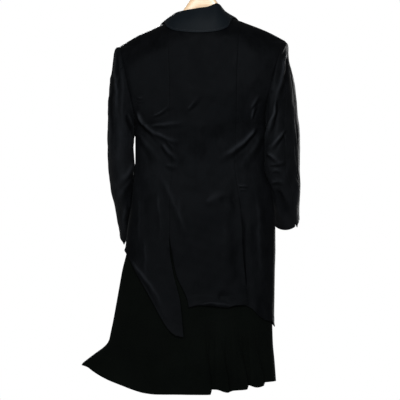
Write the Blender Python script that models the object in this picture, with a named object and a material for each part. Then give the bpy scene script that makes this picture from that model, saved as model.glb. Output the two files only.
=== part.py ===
# Long velvet jacket with a fall collar, hanging on a wooden hanger.
# Metres, +Z up. The origin is the point of the hook that rests on the rail.
# The garment's front faces -Y, and its own left side is at +X.
# The tables are in millimetres. Heights are drops: the distance below the rail.

import math

import bpy
import numpy as np
from mathutils import Vector

MM = 0.001
SHARP_ANGLE = math.radians(50)

# Cloth
VELVET_WALL = 2.0
UNDER_WALL = 1.6
SEAM_GAP = 0.7
PRINCESS_GAP = 1.1
LAID_ON = 4.8

# Torso
UNDERARM = 425.0
SHOULDER_ROUND = 75.0
SECTION_POWER = 2.4
EDGE_REACH = 1.25

# Neck
NECK_CENTRE = 12.0
NECK_HALF_WIDTH = 76.0
NECK_SCOOP = 20.0

# Collar: how far the fall bows out, as a share of its height, how steeply it does so,
# and the stand inside it
COLLAR_ARCH = 0.07
COLLAR_ARCH_RISE = 0.5
COLLAR_ROWS = (0, 18)
FALL_ROWS = (7, 11)
LAPEL_ROWS = (5, 13)
STAND_ROWS = (6, 12)
STAND_INSIDE = 2.6
STAND_ABOVE_NECK = 1.8
STAND_BELOW_ROLL = 0.8

# Vents at the back
VENT_TOP = 690.0
VENT_UNDERLAP = 14.0
VENT_UNDERLAP_END = 715.0
VENT_INSET = 4.0
VENT_INSET_START = 615.0
VENT_INSET_END = 660.0
VENT_INSET_REACH = 26.0

# Front closure, right over left
FRONT_INSET = 2.8
FRONT_OVERLAP = (25, 60)
BUTTON_RADIUS = 9.5
BUTTON_THICKNESS = 3.6
BUTTON_SHANK = 0.65
BUTTON_EDGE = 1.2
BUTTON_X = 1.0
BUTTON_SIDES = 18
BUTTON_DROPS = (432, 512, 592)

# Sleeves
HINDARM_SEAM = {1: 62.0, -1: 42.0}
FRONT_SEAM = 210.0
SLEEVE_SPLIT = 0.4
SLEEVE_START = 2.5
CUFF_VENT = 36.0
CUFF_FLIP = 7.0

# Under layer
UNDER_TOP = 640.0
UNDER_LENGTH = 1162.0
UNDER_INSET = {1: 5.0, -1: 8.5}
UNDER_CLEAR = 1.5
FLUTE_DEPTH = 5.0
FLUTE_DROPS = (820, 1120)
FLARE_START = 0.55
FLARE_ROUNDING = 0.8
PLEAT_TOP = 930.0
PLEAT_RANGE = (10, -180)
PLEAT_FOLDS = (-22, -72, -126, -170)

# Hanger
HANGER_HALF_LENGTH = 195
HANGER_PLAY = 0.8
HANGER_SQUARENESS = 2.8
HANGER_END = 0.7
HOOK_RADIUS = 22.0
HOOK_WIRE = 4.0
HOOK_ANGLES = (-14, 206, 14.6)


def through(knots, values, at):
    """A smooth curve through a short table, without overshoot and level beyond its ends."""
    knots = np.asarray(knots, dtype=float)
    values = np.asarray(values, dtype=float)
    at = np.clip(at, knots[0], knots[-1])
    step = np.diff(knots)
    slope = np.diff(values) / step
    tangent = np.zeros_like(values)
    tangent[0] = slope[0]
    tangent[-1] = slope[-1]
    for i in range(1, len(knots) - 1):
        if slope[i - 1] * slope[i] > 0:
            before = 2 * step[i] + step[i - 1]
            after = step[i] + 2 * step[i - 1]
            tangent[i] = (before + after) / (before / slope[i - 1] + after / slope[i])
    cell = np.clip(np.searchsorted(knots, at, side="right") - 1, 0, len(step) - 1)
    t = (at - knots[cell]) / step[cell]
    return (
        (1 + 2 * t) * (1 - t) ** 2 * values[cell]
        + t * (1 - t) ** 2 * step[cell] * tangent[cell]
        + t**2 * (3 - 2 * t) * values[cell + 1]
        - t**2 * (1 - t) * step[cell] * tangent[cell + 1]
    )


def ease(value, start, end):
    """0 before start, 1 after end, smooth between."""
    t = np.clip((value - start) / (end - start), 0, 1)
    return t * t * (3 - 2 * t)


class Table:
    """Rows of named columns; the first column is what the others depend on."""

    def __init__(self, names, *rows):
        data = np.array(rows, dtype=float)
        self.columns = {name: data[:, i] for i, name in enumerate(names.split())}
        self.key = data[:, 0]

    def at(self, name, where):
        return through(self.key, self.columns[name], where)


# The shoulder line, from the right shoulder's tip to the left one's
RIDGE = Table(
    "x drop",
    (-228, 199),
    (-176, 172),
    (-115, 148),
    (-60, 128),
    (0, 113),
    (60, 131),
    (115, 154),
    (146, 169),
    (176, 182),
    (228, 213),
)

# Half widths of the body at its side seams, and its depth behind and before the side seams
BODY = Table(
    "drop left right back front",
    (100, 182, 172, 64, 60),
    (250, 182, 172, 79, 72),
    (350, 182, 172, 85, 80),
    (428, 182, 172, 84.5, 80.5),
    (470, 185, 171, 79, 76),
    (540, 185.5, 168.5, 66, 65),
    (575, 187, 175, 65, 63),
    (606, 191, 187, 65, 63),
    (650, 197, 195, 69, 64),
    (706, 206, 198, 74, 67),
    (771, 213, 198.5, 78, 69),
    (826, 226, 197, 80, 71),
    (881, 236, 196, 83, 74),
    (964, 251, 195, 88, 79),
    (1024, 263, 196.5, 91, 83),
    (1074, 269, 201, 94, 86),
    (1162, 275, 207.5, 97, 90),
)

# Sleeve sections. x is outward from the body's middle. The width axis rolls from
# upright at the armhole to level below it; the depth axis pitches with the forearm.
# turn swings the section's rear inward, swing does the same to the width axis.
SLEEVES = {
    1: Table(
        "row x y drop width depth roll pitch turn swing",
        (0, 205, 0, 319, 108.5, 62, 77.75, 0, 0, 0),
        (1, 213.5, 0, 325, 107.3, 66, 75.7, 0, 0, 0),
        (2, 218.5, 0, 348, 90.6, 69, 71.7, 0, 0, 0),
        (3, 222.5, 0, 379.5, 69.1, 72, 62.9, 0, 0, 0),
        (4, 224, 0, 413.5, 53.5, 73, 49.4, 0, 0, 0),
        (5, 226, -2, 449, 39.5, 72, 29.6, 0, 0, 0),
        (6, 226.5, -4, 491, 34.5, 69, 8, 0, 0, 0),
        (7, 224.2, -14, 545, 35.2, 64, 0, 10, 0, 0),
        (8, 221, -42, 600, 33, 59, 0, 24, 0, 0),
        (9, 211.5, -74, 645, 32, 55, 0, 29, 0, 0),
        (10, 206, -98, 690, 30.5, 50, 0, 28, 0, 0),
        (11, 199, -122, 735, 29, 46, 0, 28, 0, 0),
    ),
    -1: Table(
        "row x y drop width depth roll pitch turn swing",
        (0, 199, 0, 312, 116.2, 62, 76.6, 0, 12, 0),
        (1, 202.8, 0, 319, 113.9, 67, 76.6, 0, 13, 0),
        (2, 206, 0, 343, 98.2, 72, 73.5, 0, 12, 2),
        (3, 213, 0, 377, 75.3, 74, 62.5, 0, 13, 6),
        (4, 218, 0, 410, 52, 72.5, 49, 0, 19, 17),
        (5, 218.5, 2, 447, 43, 70, 28, 0, 26, 28),
        (6, 219, 5, 490, 41, 69, 8, 0, 27, 28),
        (7, 220, -2, 545, 40.5, 66, 0, 8, 28, 28),
        (8, 228, -36, 600, 39.5, 60, 0, 22, 15, 15),
        (9, 229.5, -66, 645, 36.5, 55, 0, 30, 8, 8),
        (10, 229.5, -98, 687, 35.5, 50, 0, 35, 4, 4),
    ),
}

# The two princess seams at the back, and the edges of the vents that continue them
LEFT_SEAM = Table(
    "drop centre side",
    (140, 100, 100),
    (282, 93, 93),
    (428, 90, 90),
    (540, 86, 86),
    (640, 92, 92),
    (720, 93, 93),
    (771, 86, 91),
    (840, 72, 80),
    (909, 42, 63),
    (1008, 30, 53),
)
RIGHT_SEAM = Table(
    "drop x",
    (140, -100),
    (282, -93),
    (428, -91),
    (540, -88),
    (620, -98),
    (675, -104.5),
    (771, -108),
    (876, -118),
    (970, -124),
)

# Hems: drop against the way across each panel, from its inner or right edge
BACK_CENTRE_HEM = Table("across drop", (0, 920), (0.2, 921.5), (0.35, 927), (0.6, 923), (0.8, 921), (1, 927))
BACK_LEFT_HEM = Table(
    "across drop",
    (0, 1008),
    (0.1, 1003),
    (0.2, 985),
    (0.32, 947),
    (0.43, 909),
    (0.54, 873),
    (0.74, 821),
    (1, 773),
)
BACK_RIGHT_HEM = Table(
    "across drop", (0, 920), (0.15, 924), (0.3, 931), (0.5, 950), (0.75, 963), (0.93, 967), (1, 982)
)
FRONT_LEFT_HEM = Table("across drop", (0, 806), (0.5, 792), (1, 773))
FRONT_RIGHT_HEM = Table("across drop", (0, 815), (0.25, 865), (0.5, 925), (0.75, 955), (0.93, 967), (1, 982))

# The open edges of the two fronts: roll line down to the break, then the overlap
LEFT_EDGE = Table(
    "drop x",
    (139, 88),
    (150, 84),
    (194, 73),
    (234, 60),
    (278, 45),
    (330, 28),
    (385, 8),
    (402, -12),
    (900, -12),
)
RIGHT_EDGE = Table(
    "drop x",
    (129, -64),
    (146, -64),
    (190, -54),
    (234, -42),
    (282, -28),
    (334, -13),
    (385, 3),
    (402, 15),
    (900, 15),
)

# Drag lines and creases: start, middle and end, height out from the cloth, half width.
BACK_FOLDS = Table(
    "x0 drop0 x1 drop1 x2 drop2 height width",
    (181, 402, 110, 466, 36, 498, 6, 10),
    (176, 432, 106, 494, 40, 520, -5, 12),
    (140, 406, 112, 392, 84, 372, 3, 9),
    (140, 436, 100, 434, 60, 424, 3, 9),
    (44, 392, 26, 372, 8, 350, 2.5, 9),
    (-150, 432, -110, 478, -36, 532, 6, 10),
    (-156, 456, -112, 510, -50, 556, -5, 12),
    (-58, 566, -78, 588, -98, 614, 4, 14),
    (-18, 640, -36, 628, -60, 612, 3, 10),
    (176, 640, 172, 700, 166, 770, 3.5, 14),
    (118, 650, 112, 760, 104, 870, 3, 16),
    (60, 650, 54, 720, 48, 800, 2.5, 15),
    (158, 770, 150, 830, 146, 880, 3, 15),
    (-4, 700, -2, 800, 4, 900, 2.5, 18),
    (-150, 620, -156, 740, -160, 900, 3, 16),
    (-60, 680, -62, 780, -58, 900, -2.5, 18),
)
FRONT_FOLDS = Table(
    "x0 drop0 x1 drop1 x2 drop2 height width",
    (160, 430, 110, 480, 60, 508, 5, 11),
    (-152, 436, -104, 490, -52, 526, 5, 11),
    (120, 600, 112, 690, 108, 780, 3, 16),
    (-110, 600, -116, 720, -122, 860, 3, 16),
)

# The collar's two long edges. x, y and drop of the roll, then x and drop of the outer
# edge. on is -1 where the piece lies on the front, 1 on the back, 0 on the shoulder.
COLLAR = Table(
    "row roll_x roll_y roll_drop edge_x edge_drop on laid",
    (0, 8, 0, 386, 13, 383, -1, 1),
    (1, 28, 0, 330, 70, 318, -1, 1),
    (2, 45, 0, 278, 104, 268, -1, 1),
    (3, 60, 0, 234, 128, 226, -1, 1),
    (4, 73, 0, 194, 138, 196, -1, 1),
    (5, 84, -39, 150, 129, 178, -1, 0.6),
    (6, 86, 0, 131, 108, 150, 0, 0),
    (7, 76, 28, 122, 97, 163, 1, 0),
    (8, 53, 46, 116.5, 74, 173.5, 1, 0),
    (9, 10, 56, 110, 15, 178, 1, 0),
    (9.5, -14, 53, 106.3, -11, 177, 1, 0),
    (10, -38, 47, 97, -36, 174.5, 1, 0),
    (11, -53, 30, 108, -66, 164, 1, 0),
    (12, -62, 0, 121.5, -86, 137, 0, 0),
    (13, -64, -38, 140.5, -108, 166, -1, 0.6),
    (14, -54, 0, 190, -118, 190, -1, 1),
    (15, -42, 0, 234, -108, 226, -1, 1),
    (16, -28, 0, 282, -86, 272, -1, 1),
    (17, -13, 0, 334, -54, 322, -1, 1),
    (18, 2, 0, 387, -3, 384, -1, 1),
)

# The under layer's flare at the left side seam, and its hem
FLARE = Table(
    "drop out",
    (1016, 0),
    (1026, 3),
    (1040, 14),
    (1051, 28),
    (1062, 42),
    (1073, 56),
    (1085, 68),
    (1104, 72),
    (1162, 72),
)
UNDER_BACK_HEM = Table(
    "x drop",
    (-207, 1131),
    (-184, 1132),
    (-175, 1133),
    (-171, 1141),
    (-151, 1146),
    (-128, 1140),
    (-124, 1151),
    (-85, 1154),
    (-68, 1159),
    (-36, 1151),
    (-24, 1151),
    (-20, 1165),
    (129, 1165),
    (162, 1162),
    (195, 1153.5),
    (228, 1141.5),
    (261, 1129),
    (294, 1113),
    (311, 1103),
    (327, 1093),
    (345, 1088),
)
UNDER_FRONT_HEM = Table(
    "x drop",
    (-207, 1131),
    (-100, 1144),
    (0, 1154),
    (129, 1152),
    (228, 1131),
    (294, 1110),
    (327, 1093),
    (345, 1088),
)

# One knife pleat, from its fold's edge: how far back along the cloth, and how deep
PLEAT_PATH = (
    (34, 0),
    (16, 0),
    (1.5, 0),
    (-0.6, 2),
    (1.5, 4),
    (15, 4),
    (17.2, 5.9),
    (15, 7.8),
    (-3, 7.6),
    (-9, 5),
)

# The top of the hanger's bar where it stands above the shoulder line
HANGER_HUMP = Table(
    "x drop",
    (-72, 136.5),
    (-64, 133.5),
    (-58, 126),
    (-48, 106),
    (-35, 84),
    (-25, 71),
    (-16, 63),
    (-8, 59),
    (0, 58),
    (8, 59),
    (16, 63),
    (25, 71),
    (35, 84),
    (48, 103),
    (62, 122.5),
    (80, 141.5),
)
HANGER_BAR = Table(
    "x height thickness", (0, 60, 13), (35, 48, 14), (62, 34, 15), (110, 30, 18), (165, 25, 19), (195, 18, 16)
)

# Where the bar's sections stand, from its end to its middle, as shares of its half length
HANGER_STATIONS = np.array([1, 0.985, 0.85, 0.7, 0.53, 0.41, 0.33, 0.26, 0.195, 0.14, 0.08, 0.03])

# The hook's neck, from the wood up to where its round part starts
HOOK_NECK = Table(
    "x z",
    (0, -57.6),
    (0, -54),
    (0.4, -50),
    (2.5, -46),
    (6, -42.6),
    (10.5, -39.4),
    (15, -35.8),
    (19, -31),
)


def side_edge(face, side, drop):
    """Where a torso face ends at one side: on the armhole, or on the side seam below it."""
    ring = {name: column[0] for name, column in SLEEVES[side].columns.items()}
    roll = math.radians(ring["roll"])
    turn = math.radians(ring["turn"])
    up = np.clip((ring["drop"] - drop) / (ring["width"] * math.sin(roll)), -1, 1)
    back = face * np.sqrt(1 - up**2) * ring["depth"]
    arm_x = ring["x"] + ring["width"] * math.cos(roll) * up - back * math.sin(turn)
    arm_y = back * math.cos(turn)
    seam_x = BODY.at("left" if side == 1 else "right", drop)
    below = drop > UNDERARM
    return side * np.where(below, seam_x, arm_x), np.where(below, 0.0, arm_y)


def relief(folds, x, drop):
    """Height of the creases of one table at a place on the cloth."""
    total = np.zeros(np.broadcast(x, drop).shape)
    steps = np.linspace(0, 1, 9)
    for row in zip(*folds.columns.values()):
        x0, drop0, x1, drop1, x2, drop2, height, width = row
        line_x = (1 - steps) ** 2 * x0 + 2 * steps * (1 - steps) * x1 + steps**2 * x2
        line_drop = (1 - steps) ** 2 * drop0 + 2 * steps * (1 - steps) * drop1 + steps**2 * drop2
        best = np.full(total.shape, 1e9)
        along = np.zeros(total.shape)
        for i in range(len(steps) - 1):
            dx = line_x[i + 1] - line_x[i]
            dd = line_drop[i + 1] - line_drop[i]
            t = np.clip(((x - line_x[i]) * dx + (drop - line_drop[i]) * dd) / (dx * dx + dd * dd), 0, 1)
            away = np.hypot(x - line_x[i] - t * dx, drop - line_drop[i] - t * dd)
            along = np.where(away < best, (i + t) / (len(steps) - 1), along)
            best = np.minimum(away, best)
        fade = np.sqrt(np.clip(np.sin(math.pi * np.clip(along, 0.04, 0.96)), 0, 1))
        total = total + height * fade * np.exp(-((best / width) ** 2))
    return total


def torso(face, x, drop, inset=0.0):
    """Points of the body's surface, behind (face 1) or before (face -1) the side seams."""
    x = np.asarray(x, dtype=float)
    drop = np.asarray(drop, dtype=float)
    left_x, left_y = side_edge(face, 1, drop)
    right_x, right_y = side_edge(face, -1, drop)
    on_left = x >= 0
    u = np.clip(np.where(on_left, x / left_x, x / right_x), 0, 1)
    edge = np.where(on_left, left_y, right_y)
    below_ridge = np.clip((drop - RIDGE.at("drop", x)) / SHOULDER_ROUND, 0, 1)
    depth = BODY.at("back" if face == 1 else "front", drop) * np.sqrt(1 - (1 - below_ridge) ** 2)
    bulge = (1 - u**SECTION_POWER) ** (1 / SECTION_POWER)
    folds = BACK_FOLDS if face == 1 else FRONT_FOLDS
    crease = relief(folds, x, drop) * ease(1 - u, 0.0, 0.12)
    near_edge = (1 - bulge) ** EDGE_REACH
    y = edge * near_edge + face * ((depth - inset) * bulge + crease + SEAM_GAP / 2)
    return np.stack([x, y, -drop], axis=-1)


def lifted(face, x, drop, height):
    """Points at a height out from the body's surface."""
    step = 0.5
    here = torso(face, x, drop)
    across = torso(face, np.asarray(x) + step, drop) - torso(face, np.asarray(x) - step, drop)
    down = torso(face, x, np.asarray(drop) + step) - here
    normal = np.cross(across, down)
    normal = normal / np.linalg.norm(normal, axis=-1, keepdims=True)
    normal = normal * np.where(np.sum(normal * here * [0, 1, 0], axis=-1, keepdims=True) < 0, -1, 1)
    return here + normal * np.asarray(height)[..., None]


def material(name, colour, roughness, metallic=0.0):
    made = bpy.data.materials.get(name) or bpy.data.materials.new(name)
    made.use_nodes = True
    shader = made.node_tree.nodes["Principled BSDF"]
    shader.inputs["Base Color"].default_value = (*colour, 1.0)
    shader.inputs["Roughness"].default_value = roughness
    shader.inputs["Metallic"].default_value = metallic
    return made


def velvet():
    return material("black_velvet", (0.006, 0.0065, 0.0075), 0.85)


def satin():
    return material("blue_black_satin", (0.010, 0.014, 0.019), 0.5)


def under_cloth():
    return material("matt_black_cloth", (0.0035, 0.0045, 0.0035), 0.9)


def mesh_object(name, points, faces, finish):
    mesh = bpy.data.meshes.new(name)
    mesh.from_pydata([tuple(point) for point in np.asarray(points) * MM], [], faces)
    mesh.materials.append(finish)
    made = bpy.data.objects.new(name, mesh)
    bpy.context.collection.objects.link(made)
    mesh.shade_smooth()
    mesh.set_sharp_from_angle(angle=SHARP_ANGLE)
    return made


def cloth(name, grid, wall, finish, even=True):
    """One piece of cloth: a wall of even thickness about a grid of points."""
    rows, columns = grid.shape[:2]
    faces = []
    for i in range(rows - 1):
        for j in range(columns - 1):
            corner = i * columns + j
            faces.append((corner, corner + 1, corner + columns + 1, corner + columns))
    made = mesh_object(name, grid.reshape(-1, 3), faces, finish)
    thick = made.modifiers.new("wall", "SOLIDIFY")
    thick.thickness = wall * MM
    thick.offset = 0.0
    thick.use_even_offset = even
    thick.use_quality_normals = True
    return made


def loft(name, rings, finish):
    """A closed solid through rings of points, with flat ends."""
    count, around = rings.shape[:2]
    faces = []
    for i in range(count - 1):
        for j in range(around):
            k = (j + 1) % around
            faces.append((i * around + j, i * around + k, (i + 1) * around + k, (i + 1) * around + j))
    faces.append(tuple(reversed(range(around))))
    faces.append(tuple((count - 1) * around + j for j in range(around)))
    return mesh_object(name, rings.reshape(-1, 3), faces, finish)


# How far down the rows of a torso panel lie: from its top to the underarm, then to the hem
UPPER_ROWS = np.array([0, 0.015, 0.07, 0.17, 0.32, 0.49, 0.65, 0.79, 0.89, 0.965, 1])
LOWER_ROWS = np.array([0.08, 0.17, 0.27, 0.38, 0.48, 0.6, 0.73, 0.87, 1])
SIDE_COLUMNS = np.array([0, 0.22, 0.44, 0.64, 0.82, 0.935, 0.988, 1])


def panel_drops(top, hem):
    """Drops of a panel's rows, for each of its columns."""
    upper = top + (UNDERARM - top) * UPPER_ROWS[:, None]
    lower = UNDERARM + (hem - UNDERARM) * LOWER_ROWS[:, None]
    return np.vstack([upper, lower])


def settled_on_ridge(x, top_x):
    """Moves a panel's upper rows sideways, so that its top row meets the shoulder line."""
    fade = np.ones(len(x))
    fade[: len(UPPER_ROWS)] = ease(UPPER_ROWS, 0, 0.65)
    return x + (top_x - x[0]) * (1 - fade)[:, None]


def neckline(x):
    """Drop of the neck's edge at the back."""
    across = (x - NECK_CENTRE) / NECK_HALF_WIDTH
    right = RIDGE.at("drop", NECK_CENTRE - NECK_HALF_WIDTH)
    left = RIDGE.at("drop", NECK_CENTRE + NECK_HALF_WIDTH)
    level = right + (left - right) * (across + 1) / 2
    return level + NECK_SCOOP * np.sqrt(np.clip(1 - across**2, 0, 1))


def back_centre():
    angles = np.radians(np.linspace(-90, 90, 11))
    neck = NECK_CENTRE + NECK_HALF_WIDTH * np.sin(angles)
    top_x = np.concatenate([[-100, -82], neck, [100]])
    top_x[[0, -1]] += (PRINCESS_GAP / 2, -PRINCESS_GAP / 2)
    inside = np.abs(top_x - NECK_CENTRE) <= NECK_HALF_WIDTH
    top = np.where(inside, neckline(top_x), RIDGE.at("drop", top_x))
    tight = (top_x - top_x[0]) / (top_x[-1] - top_x[0])
    even = np.linspace(0, 1, len(top_x))
    drops = panel_drops(top, BACK_CENTRE_HEM.at("drop", even))
    across = tight + (even - tight) * ease(drops, 170, 260)
    right = RIGHT_SEAM.at("x", drops) + PRINCESS_GAP / 2
    left = LEFT_SEAM.at("centre", drops) - PRINCESS_GAP / 2
    x = settled_on_ridge(right + (left - right) * across, top_x)
    return cloth("back_centre", torso(1, x, drops), VELVET_WALL, velvet())


def back_side(side):
    """A side back panel, from its princess seam and vent to the armhole and side seam."""
    seam_top = LEFT_SEAM.at("side", 140) if side == 1 else RIGHT_SEAM.at("x", 140)
    tip, _ = side_edge(1, side, np.array(0.0))
    seam_top += side * PRINCESS_GAP / 2
    top_x = seam_top + (tip - seam_top) * SIDE_COLUMNS
    hem = BACK_LEFT_HEM if side == 1 else BACK_RIGHT_HEM
    drops = panel_drops(RIDGE.at("drop", top_x), hem.at("drop", SIDE_COLUMNS))
    outer, _ = side_edge(1, side, drops)
    inset = np.zeros_like(drops)
    if side == 1:
        inner = LEFT_SEAM.at("side", drops) + PRINCESS_GAP / 2
    else:
        seam = RIGHT_SEAM.at("x", drops)
        inner = seam - PRINCESS_GAP / 2 + VENT_UNDERLAP * ease(drops, VENT_TOP, VENT_UNDERLAP_END)
    x = settled_on_ridge(inner + (outer - inner) * SIDE_COLUMNS, top_x)
    if side == -1:
        near = ease(x, seam - VENT_INSET_REACH, seam - 3)
        inset = VENT_INSET * near * ease(drops, VENT_INSET_START, VENT_INSET_END)
    name = "back_side_left" if side == 1 else "back_side_right"
    return cloth(name, torso(1, x, drops, inset), VELVET_WALL, velvet())


def front(side):
    """A front panel, from its open edge to the armhole and side seam."""
    columns = np.concatenate([[0, 0.12, 0.24], 0.24 + 0.76 * SIDE_COLUMNS[1:]])
    edge = LEFT_EDGE if side == 1 else RIGHT_EDGE
    neck_x = NECK_CENTRE + side * NECK_HALF_WIDTH
    tip, _ = side_edge(-1, side, np.array(0.0))
    top_x = neck_x + (tip - neck_x) * columns
    hem = FRONT_LEFT_HEM if side == 1 else FRONT_RIGHT_HEM
    drops = panel_drops(RIDGE.at("drop", top_x), hem.at("drop", columns))
    outer, _ = side_edge(-1, side, drops)
    inner = edge.at("x", drops)
    x = settled_on_ridge(inner + (outer - inner) * columns, top_x)
    inset = FRONT_INSET * (1 - ease(x, *FRONT_OVERLAP)) if side == 1 else 0.0
    name = "front_left" if side == 1 else "front_right"
    return cloth(name, torso(-1, x, drops, inset), VELVET_WALL, velvet())


def sleeve_point(side, row, angle):
    """A point of a sleeve: angle 0 is its outer side, 90 its rear, 180 its inner side."""
    table = SLEEVES[side]
    angles = ("roll", "pitch", "turn", "swing")
    roll, pitch, turn, swing = (np.radians(table.at(name, row)) for name in angles)
    width = table.at("width", row) * np.cos(angle)
    depth = table.at("depth", row) * np.sin(angle)
    out = table.at("x", row) + width * np.cos(roll) * np.cos(swing) - depth * np.cos(pitch) * np.sin(turn)
    back = table.at("y", row) + width * np.cos(roll) * np.sin(swing) + depth * np.cos(pitch) * np.cos(turn)
    drop = table.at("drop", row) - width * np.sin(roll) + depth * np.sin(pitch)
    return np.stack([side * out, back, -drop], axis=-1)


def sleeve_piece(side, upper):
    """The upper or the under sleeve, split at the hindarm and front seams."""
    last = SLEEVES[side].key[-1]
    rows = np.concatenate([[0, 0.2, 0.6, 1.1, 1.8, 2.5, 3.2, 3.9, 4.5], np.arange(5, last + 0.01)])
    hind = HINDARM_SEAM[side]
    if upper:
        angles = np.linspace(hind - SLEEVE_SPLIT, FRONT_SEAM - 360 + SLEEVE_SPLIT, 13)
    else:
        angles = np.linspace(hind + SLEEVE_SPLIT, FRONT_SEAM - SLEEVE_SPLIT, 10)
    row_grid, angle_grid = np.meshgrid(rows, np.radians(angles), indexing="ij")
    grid = sleeve_point(side, row_grid, angle_grid)
    grid[..., 0] += side * SLEEVE_START * (1 - ease(row_grid, 0.5, 2))
    if upper:
        below_vent = ease(-grid[..., 2], -grid[-1, 0, 2] - CUFF_VENT, -grid[-1, 0, 2])
        near_corner = np.clip(1 - np.arange(len(angles)) / 3, 0, 1)
        grid[..., 0] += side * CUFF_FLIP * below_vent * near_corner
    name = "sleeve_%s_%s" % ("upper" if upper else "under", "left" if side == 1 else "right")
    return cloth(name, grid, VELVET_WALL, velvet())


def unrolled(below_ridge):
    """Distance over the rounded shoulder, for a drop below its line."""
    near = np.clip(below_ridge / SHOULDER_ROUND, 0, 1)
    return SHOULDER_ROUND * np.sqrt(1 - (1 - near) ** 2) + np.clip(below_ridge - SHOULDER_ROUND, 0, None)


def rolled(distance):
    """The inverse of unrolled."""
    near = np.clip(distance / SHOULDER_ROUND, 0, 1)
    return SHOULDER_ROUND * (1 - np.sqrt(1 - near**2)) + np.clip(distance - SHOULDER_ROUND, 0, None)


def on_body(x, signed, height):
    """Points lying on the body, before the shoulder line where signed is negative."""
    drop = RIDGE.at("drop", x) + rolled(np.abs(signed))
    behind = lifted(1, x, drop, height)
    before = lifted(-1, x, drop, height)
    return np.where((signed > 0)[..., None], behind, before)


def collar_lines(rows):
    """The collar's roll and outer edge at each row, on the body and free of it."""
    on = COLLAR.columns["on"]
    face = np.where(on == 0, 1, on)
    edge_x = COLLAR.columns["edge_x"]
    edge_signed = on * unrolled(COLLAR.columns["edge_drop"] - RIDGE.at("drop", edge_x))
    roll_x = COLLAR.columns["roll_x"]
    roll_signed = face * unrolled(COLLAR.columns["roll_drop"] - RIDGE.at("drop", roll_x))
    roll_y = COLLAR.columns["roll_y"].copy()
    laid = COLLAR.columns["laid"] == 1
    roll_y[laid] = lifted(-1, roll_x, COLLAR.columns["roll_drop"], np.full(len(roll_x), LAID_ON))[laid, 1]
    edge_at = through(COLLAR.key, edge_x, rows)
    roll_at = through(COLLAR.key, roll_x, rows)
    edge_down = unrolled(COLLAR.at("edge_drop", rows) - RIDGE.at("drop", edge_at))
    roll_down = unrolled(COLLAR.at("roll_drop", rows) - RIDGE.at("drop", roll_at))
    behind = (rows >= FALL_ROWS[0]) & (rows <= FALL_ROWS[1])
    before = (rows <= LAPEL_ROWS[0]) | (rows >= LAPEL_ROWS[1])
    over = np.where(before, -edge_down, through(COLLAR.key, edge_signed, rows))
    edge = (edge_at, np.where(behind, edge_down, over))
    roll = (roll_at, np.where(before, -roll_down, through(COLLAR.key, roll_signed, rows)))
    free = np.stack([roll_at, through(COLLAR.key, roll_y, rows), -COLLAR.at("roll_drop", rows)], axis=-1)
    return edge, roll, free


def collar():
    """The fall collar and both lapels, one piece folded over along its roll line."""
    rows = np.linspace(*COLLAR_ROWS, 40)
    across = np.array([0, 0.08, 0.36, 0.68, 1])
    edge, roll, free = collar_lines(rows)
    laid_x = roll[0][:, None] + (edge[0] - roll[0])[:, None] * across
    laid_signed = roll[1][:, None] + (edge[1] - roll[1])[:, None] * across
    laid = on_body(laid_x, laid_signed, np.full(laid_x.shape, LAID_ON))
    outer = on_body(edge[0], edge[1], np.full(len(rows), LAID_ON))
    outward = outer - free
    bow = COLLAR_ARCH * np.linalg.norm(outward, axis=1)
    arch = bow[:, None, None] * np.sin(math.pi * across)[None, :, None]
    outward[:, 2] = 0
    outward = outward / np.maximum(np.linalg.norm(outward, axis=1, keepdims=True), 1e-6)
    outward[:, 2] = COLLAR_ARCH_RISE
    hung = free[:, None] + (outer - free)[:, None] * across[None, :, None] + arch * outward[:, None]
    weight = COLLAR.at("laid", rows)[:, None, None]
    return cloth("collar_and_lapels", hung + (laid - hung) * weight, VELVET_WALL, satin())


def collar_stand():
    """The band that stands on the neckline, inside the fall."""
    rows = np.linspace(*STAND_ROWS, 17)
    _, _, free = collar_lines(rows)
    across_neck = 2 * (free[:, 0] - free[-1, 0]) / (free[0, 0] - free[-1, 0]) - 1
    neck_x = NECK_CENTRE + across_neck * (NECK_HALF_WIDTH - 0.01)
    foot = torso(1, neck_x, neckline(neck_x))
    foot[:, 2] += STAND_ABOVE_NECK * (1 + ease(np.abs(neck_x - NECK_CENTRE), 50, NECK_HALF_WIDTH))
    head = free.copy()
    inward = np.stack([NECK_CENTRE - free[:, 0], -free[:, 1], np.zeros(len(rows))], axis=-1)
    inward = inward / np.linalg.norm(inward, axis=1, keepdims=True)
    head += inward * STAND_INSIDE
    head[:, 2] -= STAND_BELOW_ROLL
    across = np.array([0, 0.5, 1])
    grid = foot[:, None] + (head - foot)[:, None] * across[None, :, None]
    return cloth("collar_stand", grid, VELVET_WALL, satin())


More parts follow.
